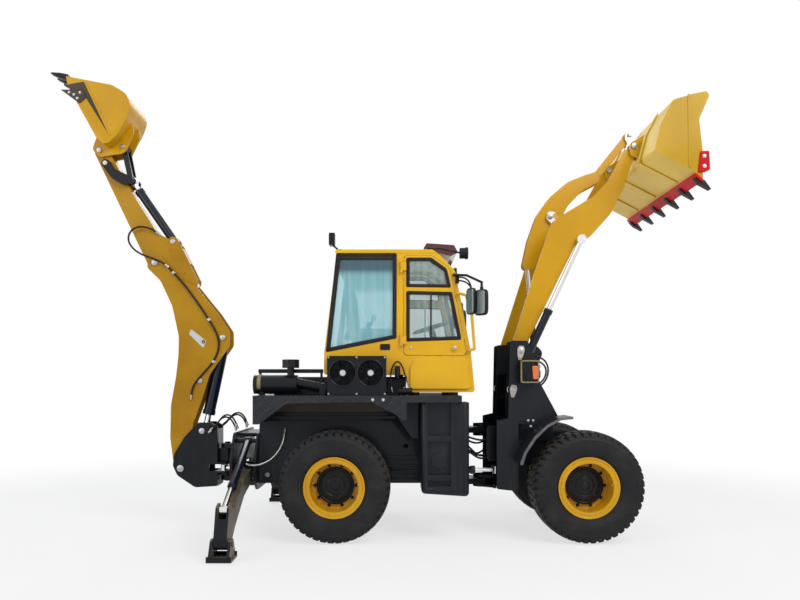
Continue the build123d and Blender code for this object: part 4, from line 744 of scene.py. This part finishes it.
# piece, finish, shift in metres, and shape
wheelParts = [
    ("hub", "blackPaint", (0, 0, 0), wheelTurned(hubProfile, 64, False)),
    ("wheelBolts", "toothBlack", (0, -0.0215, 0), boltRing(13, 18, 10, 0.205)),
    ("hubBolts", "blackPaint", (0, 0.0185, 0), boltRing(8, 9, 12, 0.13, 0.26)),
    ("valve", "pinSteel", (0.224, 0.15, 0.02), (valvePoints / 1000, valveFaces)),
]
for axle, x in (("rear", 0.0), ("front", wheelSize["wheelbase"])):
    for side, name in sideNames.items():
        wheel = axle + "_" + name
        body = "wheel_" + wheel
        tyre = addPiece("tyre_" + wheel + "_tread", onWheel(tyrePoints, x, side), tyreFaces, body, "tyreRubber")
        tyre.data.materials.append(finishes["treadRubber"])
        corners = np.array([vertex.co for vertex in tyre.data.vertices])
        reach = np.hypot(corners[:, 0] - (x - originX), corners[:, 2] - wheelSize["radius"])
        treadFrom = wheelSize["radius"] - tyreSpec["treadBand"]
        index = [int(reach[list(face.vertices)].mean() > treadFrom) for face in tyre.data.polygons]
        tyre.data.polygons.foreach_set("material_index", index)
        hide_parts("tyre_" + wheel)
        rim = addPiece("rim_" + wheel + "_turned", onWheel(rimPoints, x, side), rimFaces, body, "rimGold")
        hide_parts("rim_" + wheel)
        for part, finish, shift, (points, faces) in wheelParts:
            addPiece(part + "_" + wheel, onWheel(points + shift, x, side), faces, body, finish)
print("wheels made")


def tubeAlong(route, radius, steps=24, sides=10):
    # round tube along a cubic through four points, the Bernstein polynomials of the share
    a, b, c, d = np.array(route, float)
    t = np.linspace(0, 1, steps)[:, None]
    path = (1 - t) ** 3 * a + 3 * t * (1 - t) ** 2 * b + 3 * t ** 2 * (1 - t) * c + t ** 3 * d
    run = np.gradient(path, axis=0)
    run = run / np.linalg.norm(run, axis=1, keepdims=True)
    beside = np.cross(run, (0.3, 0.2, 1))
    beside = beside / np.linalg.norm(beside, axis=1, keepdims=True)
    over = np.cross(run, beside)
    angle = (np.arange(sides) / sides * 2 * np.pi)[None, :, None]
    points = path[:, None] + radius * (np.cos(angle) * beside[:, None] + np.sin(angle) * over[:, None])
    faces = [tuple(face) for face in gridFaces(steps, sides, False, True)]
    return points, faces + [tuple(range(sides)), tuple(range(steps * sides - 1, (steps - 1) * sides - 1, -1))]


# makers of shapes that are given on the left side and made on either side: a border inside an outline,
# a closed plate, a profile turned round an axis, a tube along a cubic, and a box
def band(side, outline, width, low, high):
    return loopBand(outline, width, low, high, sidePlace(side))


def plate(side, outline, low, high):
    return flatPlate(outline, low, high, sidePlace(side))


def lathe(side, profile, centre, direction, turns):
    return turned(profile, *onSide([centre, direction], side), turns)


def tube(side, route, radius):
    return tubeAlong(onSide(route, side), radius)


def box(side, low, high):
    return boxShape(*sideBox(side, low, high))


# what is on both sides: outlines are (x, z, radius), with a border's width and two levels |y| after them, and
# profiles are (radius, along), with a place, a direction and the turns. The printed borders, windowFrame and the
# last two of doorSeals, reach past the openings on the outer face
sidePieces = {
    "windowSeal": {"body": "rear_frame", "finish": "sealRubber", "shapes": [
        (band, [(25, 2805, 30), (590, 2805, 30), (590, 2010, 30), (-78, 1885, 30)], 22, 697, 718)]},
    "windowFrame": {"body": "rear_frame", "finish": "sealRubber", "shapes": [
        (band, [(4, 2846, 18), (606, 2846, 18), (603, 2000, 18), (-101, 1862, 18)], 40, 718, 724)]},
    "doorSeals": {"body": "door", "finish": "sealRubber", "shapes": [
        (band, [(722, 2782, 20), (930, 2782, 40), (1086, 2676, 60), (1122, 2520, 20), (722, 2530, 20)], 12, 700, 723),
        (band, [(722, 2450, 25), (1136, 2440, 25), (1228, 2010, 25), (722, 1990, 25)], 12, 700, 723),
        (band, [(698, 2803, 25), (950, 2803, 60), (1104, 2692, 80), (1146, 2503, 18), (698, 2508, 18)], 34, 719, 725),
        (band, [(698, 2472, 22), (1154, 2462, 22), (1250, 1985, 22), (698, 1967, 22)], 36, 719, 725)]},
    "doorLock": {"body": "door", "finish": "pinSteel", "shapes": [
        (lathe, [(0, 0), (19, 0), (19, 9), (15, 12), (6, 12), (5, 9), (0, 9)], (1180, 744.5, 1905), (0, 1, 0), 24),
        (lathe, [(0, 0), (12, 0), (12, 7), (9, 9), (0, 9)], (746, 723, 1905), (0, 1, 0), 20)]},
    "recessPlate": {"body": "rear_frame", "finish": "sealRubber", "edge": 0.002, "shapes": [
        (plate, [(440, 1945, 12), (540, 1945, 12), (540, 1885, 12), (440, 1885, 12)], 719, 726),
        (plate, [(454, 1934, 8), (526, 1934, 8), (526, 1920, 8), (454, 1920, 8)], 724, 734)]},
    "paneDivider": {"body": "door", "finish": "sealRubber", "edge": 0.002, "shapes": [
        (box, (938, 700, 2008), (953, 722, 2445))]},
    "mirrorRods": {"body": "rear_frame", "finish": "sealRubber", "shapes": [
        (tube, [(1205, 745, 2600), (1250, 860, 2600), (1318, 930, 2560), (1322, 935, 2465)], 8),
        (tube, [(1205, 745, 2570), (1260, 850, 2560), (1310, 920, 2520), (1322, 935, 2465)], 8),
        (box, (1186, 716, 2545), (1222, 756, 2630))]},
    "mirrorClamp": {"body": "rear_frame", "finish": "sealRubber", "shapes": [
        (lathe, [(0, 0), (17, 0), (17, 34), (0, 34)], (1415, 1000, 2440), (0, 0, 1), 16)]},
    "workLens": {"body": "rear_frame", "finish": "clearLens", "shapes": [
        (lathe, [(0, 4), (30, 3.4), (46, 1.5), (53, -1), (53, -4), (0, -4)], (1317, 660, 2856), (1, 0, 0), 40)]},
    "headLens": {"body": "front_frame", "finish": "clearLens", "shapes": [
        (lathe, [(0, 10), (30, 8), (52, 3), (60, 0), (60, -4), (0, -4)], (2026, 678, 1672), (1, 0, 0), 48)]},
    "headBezel": {"body": "front_frame", "finish": "pinSteel", "shapes": [
        (lathe, [(60, -2), (68, -2), (68, 9), (64, 12), (60, 9), (60, -2)], (2022, 678, 1672), (1, 0, 0), 48)]},
    "lampRim": {"body": "front_frame", "finish": "strapTan", "shapes": [
        (band, [(1828, 1782, 26), (2010, 1782, 14), (2010, 1558, 14), (1828, 1558, 26)], 13, 763, 773)]},
    "turnLens": {"body": "front_frame", "finish": "amberLens", "edge": 0.005, "shapes": [
        (plate, [(1938, 1730, 16), (1998, 1722, 12), (2000, 1600, 12), (1950, 1588, 18)], 764, 784)]},
    # painted reflection: a pale flat patch on the boom's glossy side
    "boomReflectionPatch": {"body": "boom", "finish": "capWhite", "shapes": [
        (plate, [(-1611, 2137, 9), (-1449, 2008, 9), (-1481, 1932, 9), (-1637, 2083, 9)], 99, 102)]},
    "innerWall": {"body": "rear_frame", "finish": "innerBrown", "shapes": [
        (box, (-650, 450, 1262), (590, 456, 1402))]},
    # painted shade: a black strip between the inner wall and its rail stands for the slot that lies in shade there
    "wallSlotShade": {"body": "rear_frame", "finish": "toothBlack", "shapes": [
        (box, (-560, 450, 1222), (500, 457, 1250))]},
    "wallRail": {"body": "rear_frame", "finish": "chassisDark", "edge": 0.003, "shapes": [
        (box, (-650, 448, 1190), (600, 462, 1216))]},
}
for part, spec in sidePieces.items():
    for side, name in sideNames.items():
        made = [maker(side, *values) for maker, *values in spec["shapes"]]
        body = "door_" + name if spec["body"] == "door" else spec["body"]
        put(part + "_" + name, made, body, spec["finish"], spec.get("edge", 0))
print("pieces on both sides made:", len(sidePieces))


def slantedPlace(spec):
    # u is y, v is z, and the level is the distance out from the line between the two ends (x, z)
    (lowX, lowZ), (highX, highZ) = spec["low"], spec["high"]

    def place(u, v, level):
        x = lowX + (v - lowZ) / (highZ - lowZ) * (highX - lowX)
        return np.stack([x + spec["shift"] + spec["out"] * level, u, v], -1)
    return place


screenTrim = {"half": 659, "radius": 30, "border": 38, "thick": 22}     # half width, and the seal's section
screens = {
    "screen": {"low": (1343, 1857), "high": (1186, 2672), "shift": -24, "out": 1, "sill": 1900, "head": 2640},
    "back": {"low": (-117, 1849), "high": (10, 2848), "shift": 18, "out": -1, "sill": 1900, "head": 2780},
}
for part, spec in screens.items():
    half, radius = screenTrim["half"], screenTrim["radius"]
    corners = [(-half, spec["sill"], radius), (half, spec["sill"], radius),
               (half, spec["head"], radius), (-half, spec["head"], radius)]
    seal = loopBand(corners, screenTrim["border"], 0, screenTrim["thick"], slantedPlace(spec))
    put("screenSeal_" + part, seal, "rear_frame", "sealRubber")
print("screen seals made")

# shares of the pin's radius and of the head's height: a raised collar, and a head with a chamfer and a dimple
pinProfile = [(1.55, 0.35), (1.42, 0.55), (1, 0.55), (1, 0.9), (0.86, 1.15), (0.25, 1.15), (0.16, 0.75), (0, 0.75)]
pinSpec = {"height": 8, "sunk": 4, "headShare": 0.62, "keeperShare": 2.1, "keeperHeight": 7}


def pinHead(centre, side, radius):
    # the pin's profile turned round it, from a foot that is sunk in the face
    profile = [(0, -pinSpec["sunk"]), (radius * pinProfile[0][0], -pinSpec["sunk"])]
    profile += [(radius * wide, pinSpec["height"] * high) for wide, high in pinProfile]
    return turned(profile, centre, (0, side, 0), 32)


def keeper(centre, side, toward, length):
    # teardrop plate from the pin's edge to its bolt; its corners are (along, across, radius)
    direction = np.array(toward, float) / np.linalg.norm(toward)
    beside = np.array([-direction[1], direction[0]])
    half = [(-48, 24, 22), (-10, 38, 30), (length * 0.6, 30, 30), (length + 26, 14, 14)]
    around = [(-48, -24, 22)] + half + [(along, -across, radius) for along, across, radius in half[:0:-1]]
    corners = [(*(np.array(centre)[[0, 2]] + direction * along + beside * across), radius)
               for along, across, radius in around]
    level, height = abs(centre[1]), pinSpec["keeperHeight"]
    bolt = np.array([centre[0], side * (level + height - 1), centre[2]])
    bolt = bolt + (direction[0] * length, 0, direction[1] * length)
    return gathered([plate(side, corners, level, level + height), hexBolt(bolt, (0, side, 0), 12, 10)])


# (name, body, x, z, |y| of the face it sits on, radius, keeper direction or None)
pins = [
    ("liftPin", "front_frame", 1859, 1884, 602, 34, (-0.12, -1)),
    ("liftBasePin", "front_frame", 1786, 1490, 590, 26, (-0.12, -1)),
    ("crankPin", "loader_arm", 2262, 3352, 120, 30, None),
    ("bucketPin", "loader_arm", 3040, 3986, 500, 30, None),
    ("bucketLinkPin", "loader_bucket", 3132, 4245, 80, 28, None),
    ("boomFootPin", "swing_post", -1715, 638, 150, 38, None),
    ("boomBasePin", "swing_post", -1485, 1041, 150, 32, None),
    ("boomKneePin", "boom", -1270, 2045, 112, 30, None),
    ("dipperBasePin", "boom", -1515, 1577, 108, 27, None),
    ("stickPin", "boom", -2003, 2854, 112, 34, None),
    ("curlBasePin", "stick", -1816, 3087, 82, 28, None),
    ("rockerPin", "stick", -2528, 3920, 140, 24, None),
    ("digPin", "dig_bucket", -2602, 4067, 112, 28, None),
    ("digLinkPin", "dig_bucket", -2352, 4108, 112, 25, None),
]
for name, body, x, z, level, radius, toward in pins:
    out = level + (pinSpec["sunk"] if toward else 0)
    heads = [pinHead((x, side * out, z), side, radius * pinSpec["headShare"]) for side in sideNames]
    put("pinHeads_" + name, heads, body, "pinSteel")
    if toward:
        plates = [keeper((x, side * (level - 2), z), side, toward, radius * pinSpec["keeperShare"])
                  for side in sideNames]
        put("pinKeepers_" + name, plates, body, "plateGrey", 0.0015)
print("pins made:", len(pins))

# (name, body, finish, size, height, places (x, z), |y| of the face)
boltRows = [
    ("boomSide", "boom", "boomYellow", 15, 8, [(-1640, 2560), (-1560, 2440), (-1480, 2000)], 100),
    ("stickSide", "stick", "boomYellow", 12, 8, [(-1700, 2745), (-1850, 3000)], 74),
    ("skirt", "rear_frame", "capWhite", 11, 9, [(373, 1396), (474, 1396)], 930),
    ("bucketEdge", "loader_bucket", "pinSteel", 13, 10, [(3535, 3625), (3532, 3720)], 1018),
    ("digCutter", "dig_bucket", "pinSteel", 10, 8, [(-2765, 4560), (-2800, 4600), (-2735, 4620), (-2850, 4622)], 276),
    ("tower", "front_frame", "capWhite", 9, 8, [(1935, 1178), (1985, 1178), (1960, 1120)], 590),
]
boltSunk = 0.5
for name, body, finish, size, height, places, level in boltRows:
    put("bolts_" + name, [hexBolt((x, side * (level - boltSunk), z), (0, side, 0), size, height)
                          for x, z in places for side in sideNames], body, finish)
print("bolts made:", len(boltRows))

# (share of the hose's radius, along) of the swaged fitting at each end
fittingProfile = [(0, -2), (1.5, -2), (1.5, 16), (1.25, 18), (1.25, 44), (1.1, 48), (1.02, 48)]


def hosePiece(spec):
    # round hose along a smooth spline through its measured corners; it rides one body, or none where it runs
    # between two, and its fittings ride the same bodies where it doesn't say otherwise
    route = np.array(spec["route"], float)
    curve = bpy.data.curves.new(spec["name"], "CURVE")
    curve.dimensions = "3D"
    line = curve.splines.new("NURBS")
    line.points.add(len(route) - 1)
    for point, place in zip(line.points, metres(route)):
        point.co = (*place, 1)
    line.order_u = 4
    line.use_endpoint_u = True
    curve.resolution_u = 8
    curve.bevel_depth = spec["radius"] / 1000
    curve.bevel_resolution = 3
    curve.use_fill_caps = True
    holder = bpy.data.objects.new(spec["name"] + "_line", curve)
    mesh = bpy.data.meshes.new_from_object(holder)
    bpy.data.objects.remove(holder)
    piece = showMesh(spec["name"], mesh, spec.get("body"), spec.get("finish", "hoseRubber"), 50)
    if "blend" in spec:
        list(spec["blend"][:2])
        metres(spec["blend"][2])
        metres(spec["blend"][3])
        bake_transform(piece)
    riders = spec.get("fittings") or spec.get("blend", (spec.get("body"),) * 2)[:2]
    for end, first, second, rider in zip("ab", route[[0, -1]], route[[1, -2]], riders):
        fitting = turned(np.array(fittingProfile) * (spec["radius"], 1), first, second - first, 12)
        put(spec["name"] + "_fitting_" + end, fitting, rider, "pinSteel")


hoses = []
boomHose = {
    "levels": (104, 113), "clips": (1, 5, 9), "clip": [(10, -14), (14, -14), (14, 14), (10, 14)],
    "foot": (22, 5, 9), "footIn": 8,
    "line": [(-1885, 2835), (-1800, 2743), (-1700, 2640), (-1612, 2519), (-1510, 2380), (-1419, 2238), (-1345, 2120),
             (-1305, 2010), (-1312, 1900), (-1368, 1785), (-1440, 1700), (-1511, 1622), (-1570, 1555), (-1605, 1480),
             (-1612, 1380)],
}
loopRoutes = (
    [(-1955, 3159), (-2010, 3200), (-2065, 3228), (-2160, 3245), (-2247, 3205), (-2285, 3123), (-2262, 3035),
     (-2185, 2960), (-2080, 2912), (-1968, 2880), (-1890, 2838), (-1850, 2800)],
    [(-1985, 3120), (-2060, 3125), (-2140, 3105), (-2185, 3050), (-2192, 2980), (-2165, 2915), (-2125, 2865),
     (-2075, 2845), (-2010, 2850), (-1950, 2850), (-1895, 2830), (-1850, 2800)],
)
loopOut = {"start": 84, "wave": 40, "drift": 34}
for lane, (side, loop) in enumerate(zip(sideNames, loopRoutes)):
    last = len(boomHose["line"]) - 1
    route = np.array([(x, side * boomHose["levels"][0 < i < last], z) for i, (x, z) in enumerate(boomHose["line"])])
    hoses.append({"name": "boomHose_%d" % lane, "body": "boom", "radius": 10, "route": route})
    clips = []
    for i in boomHose["clips"]:
        foot = route[i] - (0, side * boomHose["footIn"], 0)
        clips += [turned(boomHose["clip"], route[i], route[i + 1] - route[i - 1], 16),
                  boxShape(foot - boomHose["foot"], foot + boomHose["foot"])]
    put("hoseClips_%d" % lane, clips, "boom", "capWhite")
    # the loop swings out past the joint by a half wave along its length, and drifts out to its end
    share = np.linspace(0, math.pi, len(loop))
    out = loopOut["start"] + loopOut["wave"] * np.sin(share) + loopOut["drift"] * share / math.pi
    hoses.append({"name": "stickHose_%d" % lane, "radius": 10, "fittings": ("stick", "boom"),
                  "route": [(x, side * y, z) for (x, z), y in zip(loop, out)],
                  "blend": ("boom", "stick", (-1900, 0, 2840), (-2010, 0, 3180))})
# (y, z, sag) of the hoses between the two frames, and (x, share of y, share of the sag) along each of them
hitchHoses = [(-262, 1012, 60), (-236, 968, 190), (-268, 905, 150), (-240, 850, 60), (236, 990, 120), (262, 930, 180)]
hitchLine = [(1175, 1, 0), (1250, 1, 0), (1350, 1.05, 0.3), (1440, 1.1, 0.9), (1530, 1.1, 1), (1600, 1.05, 0.7),
             (1655, 1, 0.2), (1710, 1, 0), (1780, 1, 0)]
for lane, (y, z, sag) in enumerate(hitchHoses):
    hoses.append({"name": "hitchHose_%d" % lane, "radius": 11,
                  "route": [(x, y * wide, z - sag * drop) for x, wide, drop in hitchLine],
                  "blend": ("rear_frame", "front_frame", (1330, 0, 900), (1690, 0, 900))})
postRoute = [(-1075, 260, 1075), (-1095, 262, 1150), (-1140, 262, 1215), (-1205, 255, 1225), (-1262, 235, 1180),
             (-1300, 205, 1120), (-1345, 165, 1085), (-1390, 152, 1050)]
postStep = np.array((-13, 14, -22))
legRoute = [(-540, 470, 1104), (-542, 505, 1040), (-548, 540, 960), (-590, 590, 860), (-660, 640, 785),
            (-745, 700, 742), (-830, 760, 738), (-880, 790, 765)]
liftRoutes = (
    [(1960, 552, 1490), (2040, 552, 1505), (2112, 551, 1560), (2148, 551, 1650), (2145, 551, 1730), (2110, 553, 1790),
     (2050, 560, 1822), (1992, 562, 1838), (1953, 541, 1850)],
    [(1955, 573, 1520), (2025, 573, 1530), (2090, 573, 1575), (2122, 573, 1650), (2118, 573, 1715), (2080, 573, 1760),
     (2020, 573, 1785), (1968, 567, 1793), (1930, 541, 1800)],
)
cabRoute = [(560, 745, 1470), (545, 760, 1560), (540, 772, 1660), (575, 778, 1745), (613, 775, 1780), (655, 778, 1740),
            (690, 770, 1640), (700, 760, 1540), (655, 748, 1478)]
for side, name in sideNames.items():
    for lane, liftRoute in enumerate(liftRoutes):
        hoses.append({"name": "postHose_%s_%d" % (name, lane), "radius": 9,
                      "route": onSide(postRoute + lane * postStep, side),
                      "blend": ("rear_frame", "swing_post", (-1100, 0, 1100), (-1335, 0, 1100))})
        hoses.append({"name": "liftHose_%s_%d" % (name, lane), "radius": 9,
                      "route": onSide(liftRoute, side),
                      "blend": ("front_frame", "lift_tubes", (2060, 0, 1520), (2010, 0, 1840))})
    hoses.append({"name": "legHose_" + name, "radius": 8, "finish": "hoseBraid", "route": onSide(legRoute, side),
                  "blend": ("rear_frame", "leg_tube_" + name, (-560, side * 500, 1000), (-850, side * 770, 750))})
hoses.append({"name": "canisterHose", "body": "rear_frame", "radius": 8, "route": onSide(cabRoute, -1)})
for spec in hoses:
    hosePiece(spec)
print("hoses made:", len(hoses))

fans = {
    "places": (78, 350), "z": 1656, "face": 860, "radius": 124, "rings": 5, "ringStep": 21, "spokes": 12,
    "wire": 2.2, "hub": 34, "cap": [(0, 0), (30, 0), (30, 4), (26, 9), (14, 10), (12, 7), (0, 7)], "capFace": 853,
    "shroud": [(124, -3), (134, -3), (134, 6), (129, 8), (124, 6), (124, -3)],
    "core": ((-62, -776, 1446), (492, -768, 1812)), "boltX": (-60, 214, 489), "boltZ": (1452, 1808),
    "boltFace": 859.5,
}
outward = (0, -1, 0)
guards, caps, shrouds = [], [], []
section = np.arange(8) / 8 * 2 * np.pi
for x in fans["places"]:
    centre = (x, -fans["face"] - 4, fans["z"])
    for ring in range(fans["rings"]):
        radius = fans["radius"] - ring * fans["ringStep"]
        profile = [(radius + fans["wire"] * math.cos(a), fans["wire"] * math.sin(a)) for a in section]
        guards.append(turned(profile + profile[:1], centre, outward, 48))
    for spoke in range(fans["spokes"]):
        angle = spoke / fans["spokes"] * 2 * math.pi
        wire, near, far = fans["wire"], fans["hub"], fans["radius"] + 6
        profile = [(0, near), (wire, near), (wire, far), (0, far)]
        guards.append(turned(profile, centre, (math.cos(angle), 0, math.sin(angle)), 6))
    caps.append(turned(fans["cap"], (x, -fans["capFace"], fans["z"]), outward, 32))
    shrouds.append(turned(fans["shroud"], (x, -fans["face"], fans["z"]), outward, 64))
put("fanGuards", guards, "rear_frame", "blackPaint")
put("fanCaps", caps, "rear_frame", "capWhite")
put("fanShrouds", shrouds, "rear_frame", "blackPaint")
put("coolerCore", boxShape(*fans["core"]), "rear_frame", "coolerFins")
coolerBolts = [hexBolt((x, -fans["boltFace"], z), outward, 7, 6) for x in fans["boltX"] for z in fans["boltZ"]]
put("coolerBolts", coolerBolts, "rear_frame", "pinSteel")
print("fans made")


def roundedShell(centre, half, turn, power=5.0, rows=24, columns=40):
    # superellipsoid: x, y and z are signed powers of the cosines and sines of two angles, times half sizes
    v = np.linspace(-np.pi / 2, np.pi / 2, rows)[:, None]
    u = (np.arange(columns) / columns * 2 * np.pi)[None, :]

    def signed(value):
        return np.sign(value) * np.abs(value) ** (2 / power)

    x = signed(np.cos(v)) * signed(np.cos(u)) * half[0]
    y = signed(np.cos(v)) * signed(np.sin(u)) * half[1]
    z = signed(np.sin(v)) * half[2] + 0 * u
    c, s = math.cos(turn), math.sin(turn)
    points = np.stack([x * c - y * s, x * s + y * c, z], -1)
    return points + np.array(centre, float), gridFaces(rows, columns, False, True)


# half sizes of each housing and of its glass, which is that far behind the housing's centre
mirrors = {
    "mirrorHead": {"centre": (1412, 1000, 2327), "half": (24, 84, 124),
                   "glass": "mirrorGlass", "behind": 23.5, "glassHalf": (5, 72, 111)},
    "wideMirror": {"centre": (1322, 935, 2345), "half": (20, 60, 128),
                   "glass": "wideMirrorGlass", "behind": 17, "glassHalf": (5, 50, 117)},
}
mirrorTurn = -0.62
rearLamp = {"x": -69, "y": 640, "half": 40, "heights": (2943, 3049), "radius": 8, "thick": 5}
for side, name in sideNames.items():
    turn = side * mirrorTurn
    back = np.array((-math.cos(turn), -math.sin(turn), 0))
    for housing, spec in mirrors.items():
        centre = onSide(spec["centre"], side)
        put(housing + "_" + name, roundedShell(centre, spec["half"], turn), "rear_frame", "sealRubber")
        glass = roundedShell(centre + back * spec["behind"], spec["glassHalf"], turn, 7.0)
        put(spec["glass"] + "_" + name, glass, "rear_frame", "mirrorGlass")
    left, right = (side * rearLamp["y"] + end * rearLamp["half"] for end in (-1, 1))
    low, high = rearLamp["heights"]
    outline = [(u, v, rearLamp["radius"]) for u, v in ((left, low), (right, low), (right, high), (left, high))]
    lens = flatPlate(outline, 0, rearLamp["thick"], lambda u, v, level: np.stack([rearLamp["x"] - level, u, v], -1))
    put("rearLens_" + name, lens, "rear_frame", "redLens")
print("mirrors and rear lamps made")

cushions = {
    "seat": {"centre": (385, 0, 1957.5), "half": (255, 250, 57.5), "dome": 14, "seam": (0.6, 7, 0.035)},
    "back": {"centre": (125, 0, 2285), "half": (275, 235, 58), "dome": 12, "seam": (0.6, 6, 0.035), "lean": -0.11},
}


def cushion(spec):
    # a superellipsoid whose top swells with the product of two cosines and sinks along two seams,
    # given as (across, depth, width)
    half, (across, depth, width) = spec["half"], spec["seam"]
    points, faces = roundedShell((0, 0, 0), half, 0.0, 7.0, 40, 64)
    u, v = points[..., 0] / half[0], points[..., 1] / half[1]
    swell = np.cos(u * np.pi / 2).clip(0) * np.cos(v * np.pi / 2).clip(0) * spec["dome"]
    groove = depth * sum(np.exp(-((v - side * across) / width) ** 2) for side in sideNames)
    points[..., 2] += (points[..., 2] > 0) * (swell - groove)
    if "lean" in spec:
        # stood up, with its top side forward
        c, s = math.cos(math.pi / 2 + spec["lean"]), math.sin(math.pi / 2 + spec["lean"])
        x, y, z = np.moveaxis(points, -1, 0)
        points = np.stack([z * s - x * c, y, x * s + z * c], -1)
    return points + np.array(spec["centre"], float), faces


seat = put("seatCushion", cushion(cushions["seat"]), "rear_frame", "seatBlack")
backrest = put("seatBack", cushion(cushions["back"]), "rear_frame", "seatBlack")
levers = []
for foot, knob in (((105, -330, 2010), (110, -330, 2200)), ((265, -360, 2010), (380, -360, 2262)),
                   ((225, 330, 2010), (300, 330, 2240))):
    run = np.array(knob, float) - foot
    size = np.linalg.norm(run)
    gaiter = [(0, 0), (52, 0), (48, 30), (30, 70), (14, 96)]
    grip = [(12, size - 66), (24, size - 54), (29, size - 20), (20, size), (0, size + 2)]
    levers.append(turned(gaiter + grip, foot, run, 20))
put("controlLevers", levers, "rear_frame", "seatBlack")
print("seat and levers made")

stageSpec = {
    "sky": (0.93, 0.96, 1.0), "skyStrength": 0.5, "tone": 0.8, "drift": 0.02, "fadeFrom": 4.5, "fadeTo": 9.0,
    "fadeLeast": 0.68, "reach": 60.0,
}
lamps = {
    "key": {"place": (5.5, -8.0, 9.0), "target": (0, 0, 1.8), "size": 6.0, "power": 700, "colour": (1, 0.98, 0.95)},
    "fill": {"place": (-8.0, -7.0, 5.0), "target": (0, 0, 1.5), "size": 7.0, "power": 260, "colour": (0.93, 0.96, 1)},
    "back": {"place": (-3.0, 8.0, 8.0), "target": (0, 0, 2.0), "size": 6.0, "power": 260, "colour": (1, 1, 1)},
}


def seenRays(start):
    # 1 for the camera, for gloss and for glass, 0 for the light that the stage gives back
    rays = [start.node("ShaderNodeLightPath", {}, {}, out=name)
            for name in ("Is Camera Ray", "Is Glossy Ray", "Is Transmission Ray")]
    return rays[0].top(rays[1]).top(rays[2])


def floorMaterial(spec):
    # pale floor that keeps the shadow and fades to white with the distance from the machine
    material, start = newMaterial("paleFloor")
    place = objectPlace(start)
    across = start.node("ShaderNodeVectorMath", {"operation": "LENGTH"}, {0: place}, out="Value")
    tone = noise(start, place, 0.8, 3).step(0.2, 0.8, spec["tone"] - spec["drift"], spec["tone"] + spec["drift"])
    colour = start.node("ShaderNodeCombineColor", {}, {"Red": tone, "Green": tone, "Blue": tone})
    shader = start.node("ShaderNodeBsdfPrincipled", {},
                        {"Base Color": colour, "Roughness": 0.9, "Specular IOR Level": 0.2})
    white = start.node("ShaderNodeEmission", {}, {"Color": (1, 1, 1), "Strength": 1.0})
    fade = across.step(spec["fadeFrom"], spec["fadeTo"], spec["fadeLeast"], 1.0) * seenRays(start)
    both = start.node("ShaderNodeMixShader", {}, {0: fade, 1: shader, 2: white})
    start.node("ShaderNodeOutputMaterial", {}, {"Surface": both})
    return material


def addFloor(spec):
    # a level square
    reach = spec["reach"]
    mesh = bpy.data.meshes.new("floor")
    corners = [(-reach, -reach, 0), (reach, -reach, 0), (reach, reach, 0), (-reach, reach, 0)]
    mesh.from_pydata(corners, [], [(0, 1, 2, 3)])
    mesh.materials.append(floorMaterial(spec))
    floor = bpy.data.objects.new("floor", mesh)
    bpy.context.scene.collection.objects.link(floor)


def addWorld(spec):
    # soft sky for the light, and plain white where it is seen
    world = bpy.data.worlds.new("studio")
    bpy.context.scene.world = world
    world.use_nodes = True
    tree = world.node_tree
    tree.nodes.clear()
    start = Socket(tree)
    light = start.node("ShaderNodeBackground", {}, {"Color": spec["sky"], "Strength": spec["skyStrength"]})
    seen = start.node("ShaderNodeBackground", {}, {"Color": (1, 1, 1), "Strength": 1.0})
    both = start.node("ShaderNodeMixShader", {}, {0: seenRays(start), 1: light, 2: seen})
    start.node("ShaderNodeOutputWorld", {}, {"Surface": both})


def addLamp(name, spec):
    data = bpy.data.lights.new(name, "AREA")
    data.size = spec["size"]
    data.energy = spec["power"]
    data.color = spec["colour"]
    lamp = bpy.data.objects.new(name, data)
    lamp.location = spec["place"]
    aim = Vector(spec["target"]) - Vector(spec["place"])
    lamp.rotation_euler = aim.to_track_quat("-Z", "Y").to_euler()
    bpy.context.scene.collection.objects.link(lamp)


addFloor(stageSpec)
addWorld(stageSpec)
for name, spec in lamps.items():
    addLamp(name, spec)

# place in metres from the rear axle, the middle and the floor
cameraSpec = {"place": (0.59, -7.85, 1.587), "lens": 32.31, "shiftX": 0.006, "shiftY": 0.1}
cameraData = bpy.data.cameras.new("camera")
cameraData.lens = cameraSpec["lens"]
cameraData.shift_x = cameraSpec["shiftX"]
cameraData.shift_y = cameraSpec["shiftY"]
cameraData.clip_end = 200
camera = bpy.data.objects.new("camera", cameraData)
camera.location = Vector(cameraSpec["place"]) - Vector((originX, 0, 0))
camera.rotation_euler = (math.radians(90), 0, 0)
bpy.context.scene.collection.objects.link(camera)
bpy.context.scene.camera = camera
bpy.context.scene.view_settings.view_transform = "Standard"
print("stage set")
